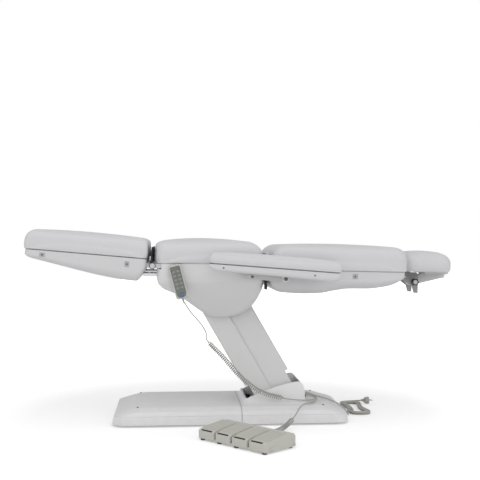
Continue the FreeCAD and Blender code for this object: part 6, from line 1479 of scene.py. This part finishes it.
knob_x, _, knob_z = np.array(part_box("headrest_knob")).mean(0)
knob_face = lathe("knob_face", (knob_x, -0.0823, knob_z), (0, -1, 0), KNOB_FACE, 36)
dressed(sharp_past(knob_face, 40), "frame_steel", "headrest_knob")
segments = []
for start in (8, 98, 188, 278):
    angle = np.radians(start + np.linspace(0, 74, 14))
    x, z = knob_x + 0.0122 * np.cos(angle), knob_z + 0.0122 * np.sin(angle)
    segments.append(tube_piece("segment", np.stack([x, np.full(14, -0.0832), z], -1), 0.0021, 10))
dressed(joined_piece("knob_segments", segments), "black_plastic", "headrest_knob")
bolt_places = [(x, -0.0558, z) for x, z in ((0.8067, 0.6320), (0.7600, 0.6370))]
bolts = lathes("bracket_bolts", bolt_places, (0, -1, 0), BOLT, 6, 30)
dressed(bolts, "frame_steel", "back")
dressed(lathe("beam_stud", (0.9990, 0.0, 0.6398), (1, 0, -0.024), STUD, 24), "bright_steel", "headrest")
print("fittings done")

# %% [markdown]
# The floor and the light of a product photograph: all white, with only a faint soft shadow.
# The light stays plain, so that a colour renders about as it is written. The white comes from
# the floor's and the sky's own brightness, which only the camera and reflections see.

# %% Floor, light and view
FLOOR_SIZE = 14.0
FLOOR_TONE = (0.86, 0.86, 0.87, 1)
GLOW_NEAR, GLOW_FAR = (0.9, 0.34), (2.6, 1.0)     # distance from the chair's middle, and glow
SKY_LIGHT, SKY_SEEN = 0.60, 1.0

corners = [(x * FLOOR_SIZE, y * FLOOR_SIZE, 0) for x, y in ((-1, -1), (1, -1), (1, 1), (-1, 1))]
floor = mesh_piece("floor", corners, [[0, 1, 2, 3]])
material, nodes, links = plain_material("studio_floor")
tree = material.node_tree
nodes["Principled BSDF"].inputs["Base Color"].default_value = FLOOR_TONE
nodes["Principled BSDF"].inputs["Roughness"].default_value = 0.85
seen = add_node(tree, "ShaderNodeLightPath").outputs
rays = math_node(tree, "MAXIMUM", seen["Is Camera Ray"], seen["Is Glossy Ray"])
far = add_node(tree, "ShaderNodeVectorMath", [("operation", "LENGTH")])
links.new(add_node(tree, "ShaderNodeTexCoord").outputs["Object"], far.inputs[0])
amount = add_node(tree, "ShaderNodeMapRange", Value=far.outputs["Value"], From_Min=GLOW_NEAR[0],
                  From_Max=GLOW_FAR[0], To_Min=GLOW_NEAR[1], To_Max=GLOW_FAR[1])
strength = math_node(tree, "MULTIPLY", rays, amount.outputs["Result"])
glow = add_node(tree, "ShaderNodeEmission", Strength=strength)
both = nodes.new("ShaderNodeAddShader")
links.new(nodes["Principled BSDF"].outputs[0], both.inputs[0])
links.new(glow.outputs[0], both.inputs[1])
links.new(both.outputs[0], nodes["Material Output"].inputs["Surface"])
floor.data.materials.append(material)

scene = bpy.context.scene
world = bpy.data.worlds.new("studio")
scene.world = world
world.use_nodes = True
tree = world.node_tree
seen = add_node(tree, "ShaderNodeLightPath").outputs
rays = math_node(tree, "MAXIMUM", seen["Is Camera Ray"], seen["Is Transmission Ray"])
level = add_node(tree, "ShaderNodeMapRange", Value=rays, To_Min=SKY_LIGHT, To_Max=SKY_SEEN)
tree.nodes["Background"].inputs["Color"].default_value = (1, 1, 1, 1)
tree.links.new(level.outputs["Result"], tree.nodes["Background"].inputs["Strength"])


def soft_lamp(name, place, aim, size, watts):
    """A square lamp that faces the point it is aimed at."""
    data = bpy.data.lights.new(name, "AREA")
    data.energy = watts
    data.size = size
    lamp = linked(name, data)
    lamp.location = place
    lamp.rotation_euler = (Vector(aim) - Vector(place)).to_track_quat("-Z", "Y").to_euler()


soft_lamp("lamp_above", (-0.1, -1.5, 3.4), (0.0, 0.0, 0.5), 3.0, 22.0)
soft_lamp("lamp_front", (-0.2, -3.4, 1.7), (0.0, 0.0, 0.15), 2.4, 9.0)
soft_lamp("lamp_right", (3.2, -2.6, 2.2), (0.0, 0.0, 0.6), 2.2, 18.0)
soft_lamp("lamp_left", (-3.4, -2.4, 1.8), (0.0, 0.0, 0.6), 2.2, 14.0)
scene.view_settings.view_transform = "Standard"
print("stage ready")
